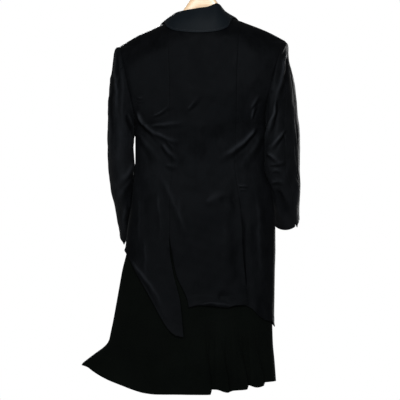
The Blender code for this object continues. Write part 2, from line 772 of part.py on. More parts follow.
def under_layer(face):
    """Back or front of the longer, darker layer inside the velvet."""
    plain = np.array([1, 0.993, 0.965, 0.91, 0.82, 0.7, 0.56, 0.42, 0.27, 0.12])
    hem_left = BODY.at("left", UNDER_LENGTH)
    hem_right = BODY.at("right", UNDER_LENGTH)
    columns = list(plain * hem_left)
    folded = [(x, 0.0) for x in columns]
    if face == 1:
        for fold in PLEAT_FOLDS:
            folded += [(fold + back, deep) for back, deep in PLEAT_PATH]
        tail = (-0.925, -0.971, -0.9935, -1)
    else:
        tail = (0, -0.2, -0.4, -0.59, -0.76, -0.89, -0.965, -0.9935, -1)
    folded += [(across * hem_right, 0.0) for across in tail]
    fold_x = np.array([x for x, _ in folded])
    fold_deep = np.array([deep for _, deep in folded])
    spread = np.where(fold_x > 0, fold_x, 0)
    first = len(columns)
    last = len(folded) - len(tail)
    even_x = fold_x.copy()
    if face == 1:
        even_x[first:last] = np.linspace(*PLEAT_RANGE, last - first)
    steps = np.array([0, 0.12, 0.27, 0.42, 0.55, 0.66, 0.76, 0.85, 0.93, 1])
    hem_table = UNDER_BACK_HEM if face == 1 else UNDER_FRONT_HEM
    hem_x = fold_x + FLARE.at("out", UNDER_LENGTH) * ease(spread / hem_left, FLARE_START, 1)
    hem = hem_table.at("drop", hem_x)
    drop = UNDER_TOP + (hem - UNDER_TOP) * steps[:, None]
    growth = ease(drop, PLEAT_TOP, hem)
    section = even_x + (fold_x - even_x) * growth**2
    deep = fold_deep * ease(growth, 0, 0.5)
    left = BODY.at("left", drop) - UNDER_INSET[1]
    right = BODY.at("right", drop) - UNDER_INSET[1]
    across = np.where(section > 0, section / hem_left, section / hem_right)
    x = across * np.where(section > 0, left, right)
    flare = FLARE.at("out", drop)
    power = SECTION_POWER - FLARE_ROUNDING * ease(flare, 0, 60) * (section > 0)
    u = np.clip(np.abs(across), 0, 1)
    depth = BODY.at("back" if face == 1 else "front", drop) - UNDER_INSET[face] - UNDER_CLEAR
    flute = FLUTE_DEPTH * np.sin(across * 15 + 0.6) * ease(drop, *FLUTE_DROPS) * ease(1 - u, 0, 0.25)
    y = face * (depth * (1 - u**power) ** (1 / power) + np.minimum(flute, 0.5) - deep + SEAM_GAP / 2)
    x = x + flare * ease(across, FLARE_START, 1)
    name = "under_layer_back" if face == 1 else "under_layer_front"
    return cloth(name, np.stack([x, y, -drop], axis=-1), UNDER_WALL, under_cloth(), even=False)


def buttons():
    for number, drop in enumerate(BUTTON_DROPS):
        height = VELVET_WALL / 2 + BUTTON_SHANK + BUTTON_THICKNESS / 2
        seat = lifted(-1, np.array([BUTTON_X]), np.array([float(drop)]), np.array([height]))[0]
        base = torso(-1, np.array([BUTTON_X]), np.array([float(drop)]))[0]
        bpy.ops.mesh.primitive_cylinder_add(
            vertices=BUTTON_SIDES, radius=BUTTON_RADIUS * MM, depth=BUTTON_THICKNESS * MM, location=seat * MM
        )
        made = bpy.context.active_object
        made.name = "button_%d" % (number + 1)
        made.rotation_euler = Vector(seat - base).to_track_quat("Z", "Y").to_euler()
        made.data.materials.append(material("black_button", (0.012, 0.012, 0.014), 0.4))
        round_edge = made.modifiers.new("round_edge", "BEVEL")
        round_edge.width = BUTTON_EDGE * MM
        round_edge.segments = 1
        made.data.shade_smooth()
        made.data.set_sharp_from_angle(angle=SHARP_ANGLE)


def hanger_top(x):
    under_shoulder = RIDGE.at("drop", x) + VELVET_WALL / 2 + HANGER_PLAY
    in_neck = (x > HANGER_HUMP.key[0]) & (x < HANGER_HUMP.key[-1])
    return np.where(in_neck, HANGER_HUMP.at("drop", x), under_shoulder)


def hanger_body():
    """The shaped wooden bar that carries the shoulders."""
    half = HANGER_HALF_LENGTH * HANGER_STATIONS
    stations = np.concatenate([-half, half[::-1]])
    top = hanger_top(stations)
    height = HANGER_BAR.at("height", np.abs(stations))
    thickness = HANGER_BAR.at("thickness", np.abs(stations))
    shrink = np.where(np.abs(stations) == HANGER_HALF_LENGTH, HANGER_END, 1.0)
    around = np.radians(np.arange(0, 360, 36) + 18)
    squarish = 2 / HANGER_SQUARENESS
    side = np.sign(np.cos(around)) * np.abs(np.cos(around)) ** squarish
    up = np.sign(np.sin(around)) * np.abs(np.sin(around)) ** squarish
    middle = -(top + height / 2)
    y = side[None, :] * (thickness * shrink / 2)[:, None]
    z = middle[:, None] + up[None, :] * (height * shrink / 2)[:, None]
    x = np.broadcast_to(stations[:, None], y.shape)
    wood = material("light_wood", (0.80, 0.55, 0.33), 0.45)
    return loft("hanger_body", np.stack([x, y, z], axis=-1), wood)


def hanger_hook():
    """The steel wire hook: up from the wood, then round over the rail."""
    centre_z = -(HOOK_RADIUS - HOOK_WIRE / 2)
    path = list(zip(HOOK_NECK.columns["x"], HOOK_NECK.columns["z"]))
    for angle in np.radians(np.arange(*HOOK_ANGLES)):
        path.append((HOOK_RADIUS * math.cos(angle), centre_z + HOOK_RADIUS * math.sin(angle)))
    curve = bpy.data.curves.new("hanger_hook", "CURVE")
    curve.dimensions = "3D"
    curve.bevel_depth = HOOK_WIRE / 2 * MM
    curve.bevel_resolution = 2
    curve.use_fill_caps = True
    spline = curve.splines.new("POLY")
    spline.points.add(len(path) - 1)
    for point, (x, z) in zip(spline.points, path):
        point.co = (x * MM, 0, z * MM, 1)
    curve.materials.append(material("hook_steel", (0.62, 0.62, 0.64), 0.3, 1.0))
    made = bpy.data.objects.new("hanger_hook", curve)
    bpy.context.collection.objects.link(made)
    return made


def main():
    for old in list(bpy.data.objects):
        bpy.data.objects.remove(old, do_unlink=True)
    back_centre()
    for side in (1, -1):
        back_side(side)
        front(side)
        sleeve_piece(side, upper=True)
        sleeve_piece(side, upper=False)
    collar()
    collar_stand()
    under_layer(1)
    under_layer(-1)
    buttons()
    hanger_body()
    hanger_hook()


main()
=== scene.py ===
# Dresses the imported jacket: fine folded cloth, seams, hems, buttonholes, wood and steel.
# Metres in the scene; the tables are in millimetres, with heights as drops below the rail.
# side is 1 for the wearer's left and -1 for the right; face is 1 for the back and -1 for the front.

import math

import bpy
import numpy as np
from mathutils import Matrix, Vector


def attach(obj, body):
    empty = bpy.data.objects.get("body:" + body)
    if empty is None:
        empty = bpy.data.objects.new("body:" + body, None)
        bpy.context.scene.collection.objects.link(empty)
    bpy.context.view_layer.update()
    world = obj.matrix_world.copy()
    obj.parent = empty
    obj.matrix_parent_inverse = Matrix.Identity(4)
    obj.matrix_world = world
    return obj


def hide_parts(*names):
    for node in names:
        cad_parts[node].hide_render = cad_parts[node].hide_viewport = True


MM = 0.001
TINY = 1e-9
MIX_SOCKETS = (0, 6, 7)
MIX_RESULT = 2
WORDS = {1: "left", -1: "right"}
FACES = {1: "back", -1: "front"}

# Where the photograph's frame lies on the garment, in metres
CAMERA_DISTANCE = 9.0
FRAME_WIDTH = 1.1
FRAME_CENTRE_X = 0.00825
FRAME_CENTRE_Z = -0.634
FLOOR_Z = -1.62
FLOOR_RADIUS = 1.7
AMBIENT = 0.2
LIGHTS_AIM = (0.0, 0.0, -0.55)

# Each lamp's place and width in metres, and its power in watts
LIGHTS = {
    "key_light": ((-0.35, 3.2, 0.6), 0.8, 72.0),
    "fill_light": ((1.5, 3.2, -0.2), 1.6, 45.0),
    "front_light": ((0.35, -3.2, 0.6), 0.8, 72.0),
    "front_fill": ((-1.5, -3.2, -0.2), 1.6, 45.0),
}

# Cloth: walls, how much of a wall its edges' rounding takes and from which angle on, and how
# high the collar's middle surface lies on the body's
VELVET_WALL = 2.0
UNDER_WALL = 1.6
STAND_WALL = 1.6
EDGE_ROUNDING = 0.42
EDGE_ANGLE = 70
LAID_ON = 4.8

# Seams: how far apart the panels are, how deep and wide a seam sinks, its puckers, and
# what share of that sinking each kind of seam has
CLOSE_SEAM = 0.1
SEAM_DEPTH = 0.8
SEAM_WIDTH = 1.8
PUCKER_HEIGHT = 0.22
PUCKER_REACH = 7
PRINCESS_DIP = 0.4
SIDE_DIP = 0.2
SLEEVE_DIP = 1.0

# Hems: the allowance folded up inside, and the lower edge's roll
HEM_DEPTH = 28.0
HEM_STEP = 0.45
ROLL_HEIGHT = 1.1
ROLL_REACH = 7

# Ridges: points of each one's line, where it fades in and out along it, how it widens,
# and where beside its crest the trough, the painted highlight and the painted shade lie, in its widths
LINE_POINTS = 13
FADE_IN = 0.22
FADE_OUT = 0.35
START_WIDTH = 0.72
WIDENING = 0.75
TROUGH_AT = 1.7
PAINTED_HIGHLIGHT_AT = -0.3
PAINTED_HIGHLIGHT_WIDTH = 0.55
PAINTED_SHADE_AT = 1.3
PAINTED_SHADE_WIDTH = 0.7
FADE_POWER = 0.8

# Heights of a ridge and depth of a hollow at which their painted highlight and painted shade are full
FULL_HIGHLIGHT_HEIGHT = 5
FULL_SHADE_DEPTH = 4

# Torso: how it rounds at the shoulders and sides, from where its finished sides are fuller,
# near which side and shoulder line its folds die away, how far down a panel's rows still
# follow its top row, and where the princess seams meet the shoulder line
UNDERARM = 425.0
SHOULDER_ROUND = 75.0
SECTION_POWER = 2.4
EDGE_REACH = 1.25
FULLER_FROM = 0.7
CALM_SIDE = 0.05
CALM_SHOULDER = 30
TOP_ROW_HOLD = 0.65
PRINCESS_TOP = 100

# Rows of the torso's panels above the underarm and below it, and columns across them, for
# the side panels with a number that says how evenly they are spread
UPPER_ROWS = 84
LOWER_ROWS = {"centre": 156, "back_side": 170, "front_left": 130, "front_right": 160}
CENTRE_COLUMNS = (13, 47, 7)
BACK_SIDE_COLUMNS = (60, 0.12)
FRONT_COLUMNS = (84, 0.1)

# Neck, and the drops between which the back's columns spread out evenly below it
NECK_CENTRE = 12.0
NECK_HALF_WIDTH = 76.0
NECK_SCOOP = 20.0
SPREAD_DROPS = (170, 260)

# Collar: how far the fall bows out, as a share of its height, and how steeply it does so;
# its parts from row to row of its table, with the rows of each one's mesh; the table's rows
# that lie on the back and those between the lapels; its edge, its roll and its stitches
COLLAR_ARCH = 0.07
COLLAR_ARCH_RISE = 0.5
COLLAR_LIFT = 60.0
COLLAR_PARTS = ((0, 5, 70), (5, 13, 190), (13, 18, 70))
COLLAR_COLUMNS = (34, 0.25)
FALL_ROWS = (7, 11)
LAPEL_ROWS = (5, 13)
COLLAR_EDGE_HEIGHT = 0.35
COLLAR_EDGE_REACH = 5
COLLAR_WAVE = 0.3
ROLL_SOFTNESS = 1.6
ROLL_SOFT_REACH = 0.16
STITCH_INSIDE = 5.0
STITCH_STEP = 4.6
STITCH_HEIGHT = 0.42
STITCH_RADIUS = 0.24
STITCH_PLACES = (0, 0.5, 1.5, 2.5, 3.0)
STITCH_RISE = (-0.45, -0.05, 0.05, -0.05, -0.45)

# The stand inside the fall: its rows of the collar's table, how far it goes in and down, its
# fold over the roll as shares of the way across and heights, and where its ends are tucked in
STAND_ROWS = (6.0, 12.0)
STAND_FADE = 0.4
STAND_THICK = 3.2
STAND_SINK = 1.6
STAND_COLUMNS = 12
STAND_FOLD = ((0.35, 0.7), (1.5, 1.3))
STAND_TUCK = 3.0
STAND_ABOVE_NECK = 1.8

# The right vent. Pairs are drops or distances from the seam between which something grows
# or ends; of four drops, it grows between the first two and dies away between the others.
VENT_SEAM_ENDS = (690, 710)
VENT_UNDERLAP = 14.0
VENT_UNDERLAP_GROWS = (690, 715)
VENT_INSET = 4.0
VENT_INSET_GROWS = (615, 660)
VENT_INSET_ACROSS = (26, 3)
VENT_LIFT = 2.5
VENT_LIFT_REACH = 7
VENT_LIFT_DROPS = (660, 720, 840, 900)
# Beside the vent's seam the side panel sinks, and its pile carries painted shade over the shade's width
VENT_SINK = 3.0
VENT_SHADE_WIDTH = 9.0
VENT_SHADE_NARROWING = 0.7
VENT_SHADE_NARROWS = (740, 860)
VENT_SHADE_DROPS = (670, 710, 850, 885)

# Front closure, right over left: the left front's inset with more room at its hem, and how
# far from the buttons the folds grow, from the share of them that is left there
FRONT_INSET = 2.8
FRONT_OVERLAP = (25, 60)
FRONT_FLAT = (14, 44)
FRONT_FLATNESS = 0.15
HEM_ROOM = 1.2
HEM_ROOM_DROPS = (730, 785)

# Buttons: discs with a rim, a well, four holes and two bars of thread. BUTTON_BACK has
# distances in from the rim and up from the back, BUTTON_RIM and BUTTON_WELL in from the rim
# and down from the top, and THREAD_PATH across the button and down from the top.
BUTTON_RADIUS = 9.5
BUTTON_THICKNESS = 3.6
BUTTON_SHANK = 0.65
BUTTON_X = 1.0
BUTTON_DROPS = (432, 512, 592)
BUTTON_BACK = ((1.3, 0), (0.4, 0.5), (0, 1.4))
BUTTON_RIM = ((0.1, 0.9), (0.5, 0.3), (1.1, 0), (1.9, 0.1), (2.6, 0.8))
BUTTON_WELL = (3.2, 1.05)
WELL_RADIUS = 5
WELL_TOP = 1.2
HOLE_PLACE = 1.7
HOLE_DEPTH = 1.5
HOLE_RADII = (0.55, 0.95)
THREAD_RADIUS = 0.2
THREAD_STRANDS = (-0.32, 0.0, 0.32)
THREAD_PATH = ((-1.75, 2.2), (-1.6, 1.0), (-0.8, 0.72), (0.8, 0.72), (1.6, 1.0), (1.75, 2.2))

# Buttonholes: x of their rounded end and of their end under the button, and their stitches
# with each one's reach from the slit, heights over the body at both ends, bow and radius
BUTTONHOLE = (-20.5, 2.0)
WORKED_STEP = 0.62
WORKED_REACH = (0.35, 2.3)
WORKED_HEIGHTS = (1.25, 1.1)
WORKED_BOW = 0.45
WORKED_RADIUS = 0.33

# Sleeves: seams as angles round them, rows of their tables and of their meshes, and the
# head where it is sewn into the armhole
HINDARM_SEAM = {1: 62.0, -1: 42.0}
FRONT_SEAM = 210.0
UNDERARM_ROW = 5
SLEEVE_UPPER_ROWS = 92
SLEEVE_LOWER_ROWS = {1: 90, -1: 76}
UPPER_SLEEVE_COLUMNS = 74
UNDER_SLEEVE_COLUMNS = 54
HEAD_CALM = (4, 26)
HEAD_SEAM_DEPTH = 0.9
HEAD_SEAM_WIDTH = 2.5
INNER_SIDE = (0.5, 0.9)
SLEEVE_GAP = 0.12
SLEEVE_TUCK = 0.3
SLEEVE_REST = 2.4
SLEEVE_REST_DROPS = (425, 450)
HEAD_FULLNESS = 2.2
HEAD_FULLNESS_AT = 8
HEAD_FULLNESS_WIDTH = 6
TUCK_ROWS = (0.5, 2)
REAR_SIDE = (-0.3, 0.3)
FRONT_WAVES_SHIFT = 300
CUFF_CORNER = 16.0
CUFF_CORNER_ANGLE = 34
CUFF_DROOP = 5.0
CUFF_FLIP = 7.0

# Under layer, with its flutes, flare and knife pleats, its columns' places as shares of the
# half hem, and the hollow that leaves room for the right vent's under edge
UNDER_TOP = 640.0
UNDER_LENGTH = 1162.0
UNDER_INSET = {1: 5.0, -1: 8.5}
UNDER_CLEAR = 1.5
UNDER_ROWS = 120
UNDER_FINENESS = {1: 4, -1: 10}
PLAIN_MESH_COLUMNS = 70
UNDER_WAVE = 0.9
UNDER_SEAM_DEPTH = 1.2
UNDER_SEAM_WIDTH = 3
UNDER_HEM_STEP = 0.35
UNDER_HEM_ENDS = (9, 11)
FLUTE_DEPTH = 5.0
FLUTE_DROPS = (820, 1120)
FLARE_START = 0.55
FLARE_ROUNDING = 0.8
PLEAT_TOP = 930.0
PLEAT_RANGE = (10, -180)
PLEAT_FOLDS = (-22, -72, -126, -170)
PLAIN_COLUMNS = (1, 0.993, 0.965, 0.91, 0.82, 0.7, 0.56, 0.42, 0.27, 0.12)
BACK_TAIL = (-0.925, -0.971, -0.9935, -1)
FRONT_TAIL = (0, -0.2, -0.4, -0.59, -0.76, -0.89, -0.965, -0.9935, -1)
VENT_HOLLOW = 5.8
HOLLOW_X = (-165, -128, -88, -55)
HOLLOW_DROPS = (600, 680, 870, 960)

# Hanger: BAR_END_ROUNDING has places along its half, as shares, and how much is left there
BAR_END_STATIONS = (1.0, 0.998, 0.993, 0.985)
BAR_END_ROUNDING = ((0, 0.97, 0.985, 0.993, 0.998, 1), (1, 1, 0.97, 0.9, 0.78, 0.5))
BAR_SMOOTHING = (0.1, 0.2, 0.4, 0.2, 0.1)
HANGER_HALF_LENGTH = 195
HANGER_PLAY = 0.8
HANGER_SQUARENESS = 2.8
HOOK_RADIUS = 22.0
HOOK_WIRE = 4.0
HOOK_ANGLES = (-14, 206, 14.6)
HOOK_FOOT = (0, -60)
HOOK_POINTS = 220
HOOK_TIP = (0.98, 0.9, 0.75, 0.5, 0.12)


def through(knots, values, at):
    """A smooth curve through a short table, without overshoot and level beyond its ends."""
    knots = np.asarray(knots, dtype=float)
    values = np.asarray(values, dtype=float)
    at = np.clip(at, knots[0], knots[-1])
    step = np.diff(knots)
    slope = np.diff(values) / step
    tangent = np.zeros_like(values)
    tangent[0] = slope[0]
    tangent[-1] = slope[-1]
    for i in range(1, len(knots) - 1):
        if slope[i - 1] * slope[i] > 0:
            before = 2 * step[i] + step[i - 1]
            after = step[i] + 2 * step[i - 1]
            tangent[i] = (before + after) / (before / slope[i - 1] + after / slope[i])
    cell = np.clip(np.searchsorted(knots, at, side="right") - 1, 0, len(step) - 1)
    t = (at - knots[cell]) / step[cell]
    return (
        (1 + 2 * t) * (1 - t) ** 2 * values[cell]
        + t * (1 - t) ** 2 * step[cell] * tangent[cell]
        + t**2 * (3 - 2 * t) * values[cell + 1]
        - t**2 * (1 - t) * step[cell] * tangent[cell + 1]
    )


def ease(value, start, end):
    """0 before start, 1 after end, smooth between."""
    t = np.clip((value - start) / (end - start), 0, 1)
    return t * t * (3 - 2 * t)


def between(value, start, full, fading, end):
    """Grows from start to full, holds, and dies away from fading to end."""
    return ease(value, start, full) * (1 - ease(value, fading, end))


def bell(distance, width):
    """1 at no distance, falling away smoothly on both sides."""
    return np.exp(-((distance / width) ** 2))


def unit(vectors):
    """The same directions, each with a length of 1."""
    return vectors / np.maximum(np.linalg.norm(vectors, axis=-1, keepdims=True), TINY)


class Table:
    """Rows of named columns; the first column is what the others depend on."""

    def __init__(self, names, *rows):
        data = np.array(rows, dtype=float)
        self.columns = {name: data[:, i] for i, name in enumerate(names.split())}
        self.key = data[:, 0]

    def at(self, name, where):
        return through(self.key, self.columns[name], where)


# The shoulder line, from the right shoulder's tip to the left one's
RIDGE = Table(
    "x drop",
    (-228, 199), (-176, 172), (-115, 148), (-60, 128), (0, 113), (60, 131), (115, 154), (146, 169),
    (176, 182), (228, 213),
)

# Half widths of the body at its side seams, and its depth behind and before the side seams
BODY = Table(
    "drop left right back front",
    (100, 182, 172, 64, 60),
    (250, 182, 172, 79, 72),
    (350, 182, 172, 85, 80),
    (428, 182, 172, 84.5, 80.5),
    (470, 185, 171, 79, 76),
    (540, 185.5, 168.5, 66, 65),
    (575, 187, 175, 65, 63),
    (606, 191, 187, 65, 63),
    (650, 197, 195, 69, 64),
    (706, 206, 198, 74, 67),
    (771, 213, 198.5, 78, 69),
    (826, 226, 197, 80, 71),
    (881, 236, 196, 83, 74),
    (964, 251, 195, 88, 79),
    (1024, 263, 196.5, 91, 83),
    (1074, 269, 201, 94, 86),
    (1162, 275, 207.5, 97, 90),
)

# Sleeve sections. x is outward from the body's middle. The width axis rolls from
# upright at the armhole to level below it; the depth axis pitches with the forearm.
# turn swings the section's rear inward, swing does the same to the width axis.
SLEEVES = {
    1: Table(
        "row x y drop width depth roll pitch turn swing",
        (0, 205, 0, 319, 108.5, 62, 77.75, 0, 0, 0),
        (1, 213.5, 0, 325, 107.3, 66, 75.7, 0, 0, 0),
        (2, 218.5, 0, 348, 90.6, 69, 71.7, 0, 0, 0),
        (3, 222.5, 0, 379.5, 69.1, 72, 62.9, 0, 0, 0),
        (4, 224, 0, 413.5, 53.5, 73, 49.4, 0, 0, 0),
        (5, 226, -2, 449, 39.5, 72, 29.6, 0, 0, 0),
        (6, 226.5, -4, 491, 34.5, 69, 8, 0, 0, 0),
        (7, 224.2, -14, 545, 35.2, 64, 0, 10, 0, 0),
        (8, 221, -42, 600, 33, 59, 0, 24, 0, 0),
        (9, 211.5, -74, 645, 32, 55, 0, 29, 0, 0),
        (10, 206, -98, 690, 30.5, 50, 0, 28, 0, 0),
        (11, 199, -122, 735, 29, 46, 0, 28, 0, 0),
    ),
    -1: Table(
        "row x y drop width depth roll pitch turn swing",
        (0, 199, 0, 312, 116.2, 62, 76.6, 0, 12, 0),
        (1, 202.8, 0, 319, 113.9, 67, 76.6, 0, 13, 0),
        (2, 206, 0, 343, 98.2, 72, 73.5, 0, 12, 2),
        (3, 213, 0, 377, 75.3, 74, 62.5, 0, 13, 6),
        (4, 218, 0, 410, 52, 72.5, 49, 0, 19, 17),
        (5, 218.5, 2, 447, 43, 70, 28, 0, 26, 28),
        (6, 219, 5, 490, 41, 69, 8, 0, 27, 28),
        (7, 220, -2, 545, 40.5, 66, 0, 8, 28, 28),
        (8, 228, -36, 600, 39.5, 60, 0, 22, 15, 15),
        (9, 229.5, -66, 645, 36.5, 55, 0, 30, 8, 8),
        (10, 229.5, -98, 687, 35.5, 50, 0, 35, 4, 4),
    ),
}

# The two princess seams at the back, and the edges of the vents that continue them
LEFT_SEAM = Table(
    "drop centre side",
    (140, 100, 100), (282, 93, 93), (428, 90, 90), (540, 86, 86), (640, 92, 92), (720, 93, 93),
    (771, 86, 91), (840, 72, 80), (909, 42, 63), (1008, 30, 53),
)
RIGHT_SEAM = Table(
    "drop x",
    (140, -100), (282, -93), (428, -91), (540, -88), (620, -98), (675, -104.5), (771, -108), (876, -118),
    (970, -124),
)

# Hems: drop against the way across each panel, from its inner or right edge
BACK_CENTRE_HEM = Table("across drop", (0, 920), (0.2, 921.5), (0.35, 927), (0.6, 923), (0.8, 921), (1, 927))
BACK_LEFT_HEM = Table(
    "across drop",
    (0, 1008), (0.1, 1003), (0.2, 985), (0.32, 947), (0.43, 909), (0.54, 873), (0.74, 821), (1, 773),
)
BACK_RIGHT_HEM = Table(
    "across drop", (0, 920), (0.15, 924), (0.3, 931), (0.5, 950), (0.75, 963), (0.93, 967), (1, 982)
)
FRONT_LEFT_HEM = Table("across drop", (0, 806), (0.5, 792), (1, 773))
FRONT_RIGHT_HEM = Table("across drop", (0, 815), (0.25, 865), (0.5, 925), (0.75, 955), (0.93, 967), (1, 982))

# The open edges of the two fronts: roll line down to the break, then the overlap
LEFT_EDGE = Table(
    "drop x",
    (139, 88), (150, 84), (194, 73), (234, 60), (278, 45), (330, 28), (385, 8), (402, -12), (900, -12),
)
RIGHT_EDGE = Table(
    "drop x",
    (129, -64), (146, -64), (190, -54), (234, -42), (282, -28), (334, -13), (385, 3), (402, 15), (900, 15),
)

# The collar's two long edges. x, y and drop of the roll, then x and drop of the outer
# edge. on is -1 where the piece lies on the front, 1 on the back, 0 on the shoulder.
COLLAR = Table(
    "row roll_x roll_y roll_drop edge_x edge_drop on laid",
    (0, 8, 0, 386, 13, 383, -1, 1),
    (1, 28, 0, 330, 70, 318, -1, 1),
    (2, 45, 0, 278, 104, 268, -1, 1),
    (3, 60, 0, 234, 128, 226, -1, 1),
    (4, 73, 0, 194, 138, 196, -1, 1),
    (5, 84, -39, 150, 129, 178, -1, 0.6),
    (6, 86, 0, 131, 108, 150, 0, 0),
    (7, 76, 28, 122, 97, 163, 1, 0),
    (8, 53, 46, 116.5, 74, 173.5, 1, 0),
    (9, 10, 56, 110, 15, 178, 1, 0),
    (9.5, -14, 53, 106.3, -11, 177, 1, 0),
    (10, -38, 47, 97, -36, 174.5, 1, 0),
    (11, -53, 30, 108, -66, 164, 1, 0),
    (12, -62, 0, 121.5, -86, 137, 0, 0),
    (13, -64, -38, 140.5, -108, 166, -1, 0.6),
    (14, -54, 0, 190, -118, 190, -1, 1),
    (15, -42, 0, 234, -108, 226, -1, 1),
    (16, -28, 0, 282, -86, 272, -1, 1),
    (17, -13, 0, 334, -54, 322, -1, 1),
    (18, 2, 0, 387, -3, 384, -1, 1),
)

# The under layer's flare at the left side seam, and its hem
FLARE = Table(
    "drop out",
    (1016, 0), (1026, 3), (1040, 14), (1051, 28), (1062, 42), (1073, 56), (1085, 68), (1104, 72),
    (1162, 72),
)
UNDER_BACK_HEM = Table(
    "x drop",
    (-207, 1131), (-184, 1132), (-175, 1133), (-171, 1141), (-151, 1146), (-128, 1140), (-124, 1151),
    (-85, 1154), (-68, 1159), (-36, 1151), (-24, 1151), (-20, 1165), (129, 1165), (162, 1162),
    (195, 1153.5), (228, 1141.5), (261, 1129), (294, 1113), (311, 1103), (327, 1093), (345, 1088),
)
UNDER_FRONT_HEM = Table(
    "x drop",
    (-207, 1131), (-100, 1144), (0, 1154), (129, 1152), (228, 1131), (294, 1110), (327, 1093), (345, 1088),
)

# One knife pleat, from its fold's edge: how far back along the cloth, and how deep
PLEAT_PATH = (
    (34, 0), (16, 0), (1.5, 0), (-0.6, 2), (1.5, 4), (15, 4), (17.2, 5.9), (15, 7.8), (-3, 7.6), (-9, 5),
)

# The top of the hanger's bar where it stands above the shoulder line
HANGER_HUMP = Table(
    "x drop",
    (-72, 136.5), (-64, 133.5), (-58, 126), (-48, 106), (-35, 84), (-25, 71), (-16, 63), (-8, 59), (0, 58),
    (8, 59), (16, 63), (25, 71), (35, 84), (48, 103), (62, 122.5), (80, 141.5),
)
HANGER_BAR = Table(
    "x height thickness", (0, 60, 13), (35, 48, 14), (62, 34, 15), (110, 30, 18), (165, 25, 19), (195, 18, 16)
)

# The hook's neck, from the wood up to where its round part starts
HOOK_NECK = Table(
    "x z",
    (0, -57.6), (0, -54), (0.4, -50), (2.5, -46), (6, -42.6), (10.5, -39.4), (15, -35.8), (19, -31),
)

# Ridges of the cloth as the photograph shows them. Each runs from start over middle to end.
# under is the trough on its lower or right side, as a share of the ridge's height.
BACK_RIDGES = Table(
    "x0 drop0 x1 drop1 x2 drop2 height width under",
    (184, 392, 152, 432, 112, 476, 5.5, 5.5, 0.9),
    (134, 446, 108, 470, 60, 474, 3, 6, 0.5),
    (116, 480, 98, 502, 68, 526, 3, 5.5, 0.6),
    (102, 472, 92, 484, 74, 492, 2, 5, 0.5),
    (139, 406, 112, 396, 86, 374, 2.6, 4.5, 0.5),
    (146, 430, 100, 434, 38, 415, 2.6, 6.5, 0.4),
    (46, 386, 24, 378, 8, 345, 2.6, 6, 0.4),
    (184, 355, 172, 358, 160, 356, 1.8, 3.5, 0.4),
    (182, 366, 170, 366, 160, 363, 1.4, 3.5, 0.4),
    (178, 446, 150, 494, 104, 540, 1.2, 8, 0.5),
    (100, 534, 88, 542, 66, 544, 1.2, 6, 0.5),
    (-146, 434, -112, 482, -38, 528, 5, 6.5, 0.7),
    (-128, 386, -138, 364, -162, 344, 2.8, 4.5, 0.5),
    (-132, 414, -138, 392, -141, 366, 3, 4, 0.6),
    (-156, 452, -140, 500, -96, 556, 1.3, 9, 0.5),
    (-96, 599, -110, 594, -126, 598, 2.4, 3.5, 0.6),
    (-100, 608, -112, 604, -124, 607, 1.6, 3, 0.5),
    (0, 644, -30, 632, -62, 612, 1.8, 13, 0.3),
    (-40, 636, -78, 618, -112, 664, -2.6, 9, 0),
    (-52, 190, -84, 183, -118, 188, 1.4, 8, 0.3),
    (172, 620, 171, 700, 168, 785, 1.5, 8, 0.4),
    (122, 600, 112, 700, 110, 840, 1.4, 8, 0.4),
    (64, 620, 58, 690, 50, 790, 1.2, 9, 0.4),
    (118, 560, 66, 680, -8, 850, 1.3, 10, 0.3),
    (160, 730, 152, 800, 150, 880, 1.6, 8, 0.4),
    (92, 760, 88, 790, 90, 820, -2, 10, 0),
    (-80, 606, -86, 650, -92, 700, -2.4, 9, 0),
    (-150, 620, -158, 760, -160, 920, 1.5, 12, 0.3),
    (-62, 660, -66, 790, -60, 890, 1.2, 14, 0.3),
    (26, 917, -50, 916, -116, 926, 3.2, 6, 0.5),
    (-38, 900, -64, 894, -94, 902, -2.2, 13, 0),
    (206, 790, 140, 860, 84, 984, 2.6, 8, 0.4),
    (0, 180, 4, 300, 0, 420, 1.6, 42, 0),
)
FRONT_RIDGES = Table(
    "x0 drop0 x1 drop1 x2 drop2 height width under",
    (176, 418, 120, 480, 50, 512, 4.5, 7, 0.6),
    (160, 452, 110, 520, 36, 556, 2.6, 9, 0.5),
    (-168, 424, -112, 486, -44, 520, 4.5, 7, 0.6),
    (-150, 460, -100, 528, -30, 566, 2.6, 9, 0.5),
    (150, 600, 140, 690, 142, 770, 2.6, 9, 0.4),
    (96, 610, 84, 700, 86, 780, 2.4, 10, 0.4),
    (40, 620, 34, 700, 40, 790, 2.2, 10, 0.4),
    (-60, 610, -66, 720, -70, 860, 2.4, 11, 0.4),
    (-120, 600, -130, 740, -138, 900, 2.6, 10, 0.4),
    (-30, 640, -22, 720, -18, 800, 2, 9, 0.4),
    (150, 250, 128, 320, 134, 400, 2.2, 12, 0.3),
    (-146, 250, -126, 320, -132, 400, 2.2, 12, 0.3),
)
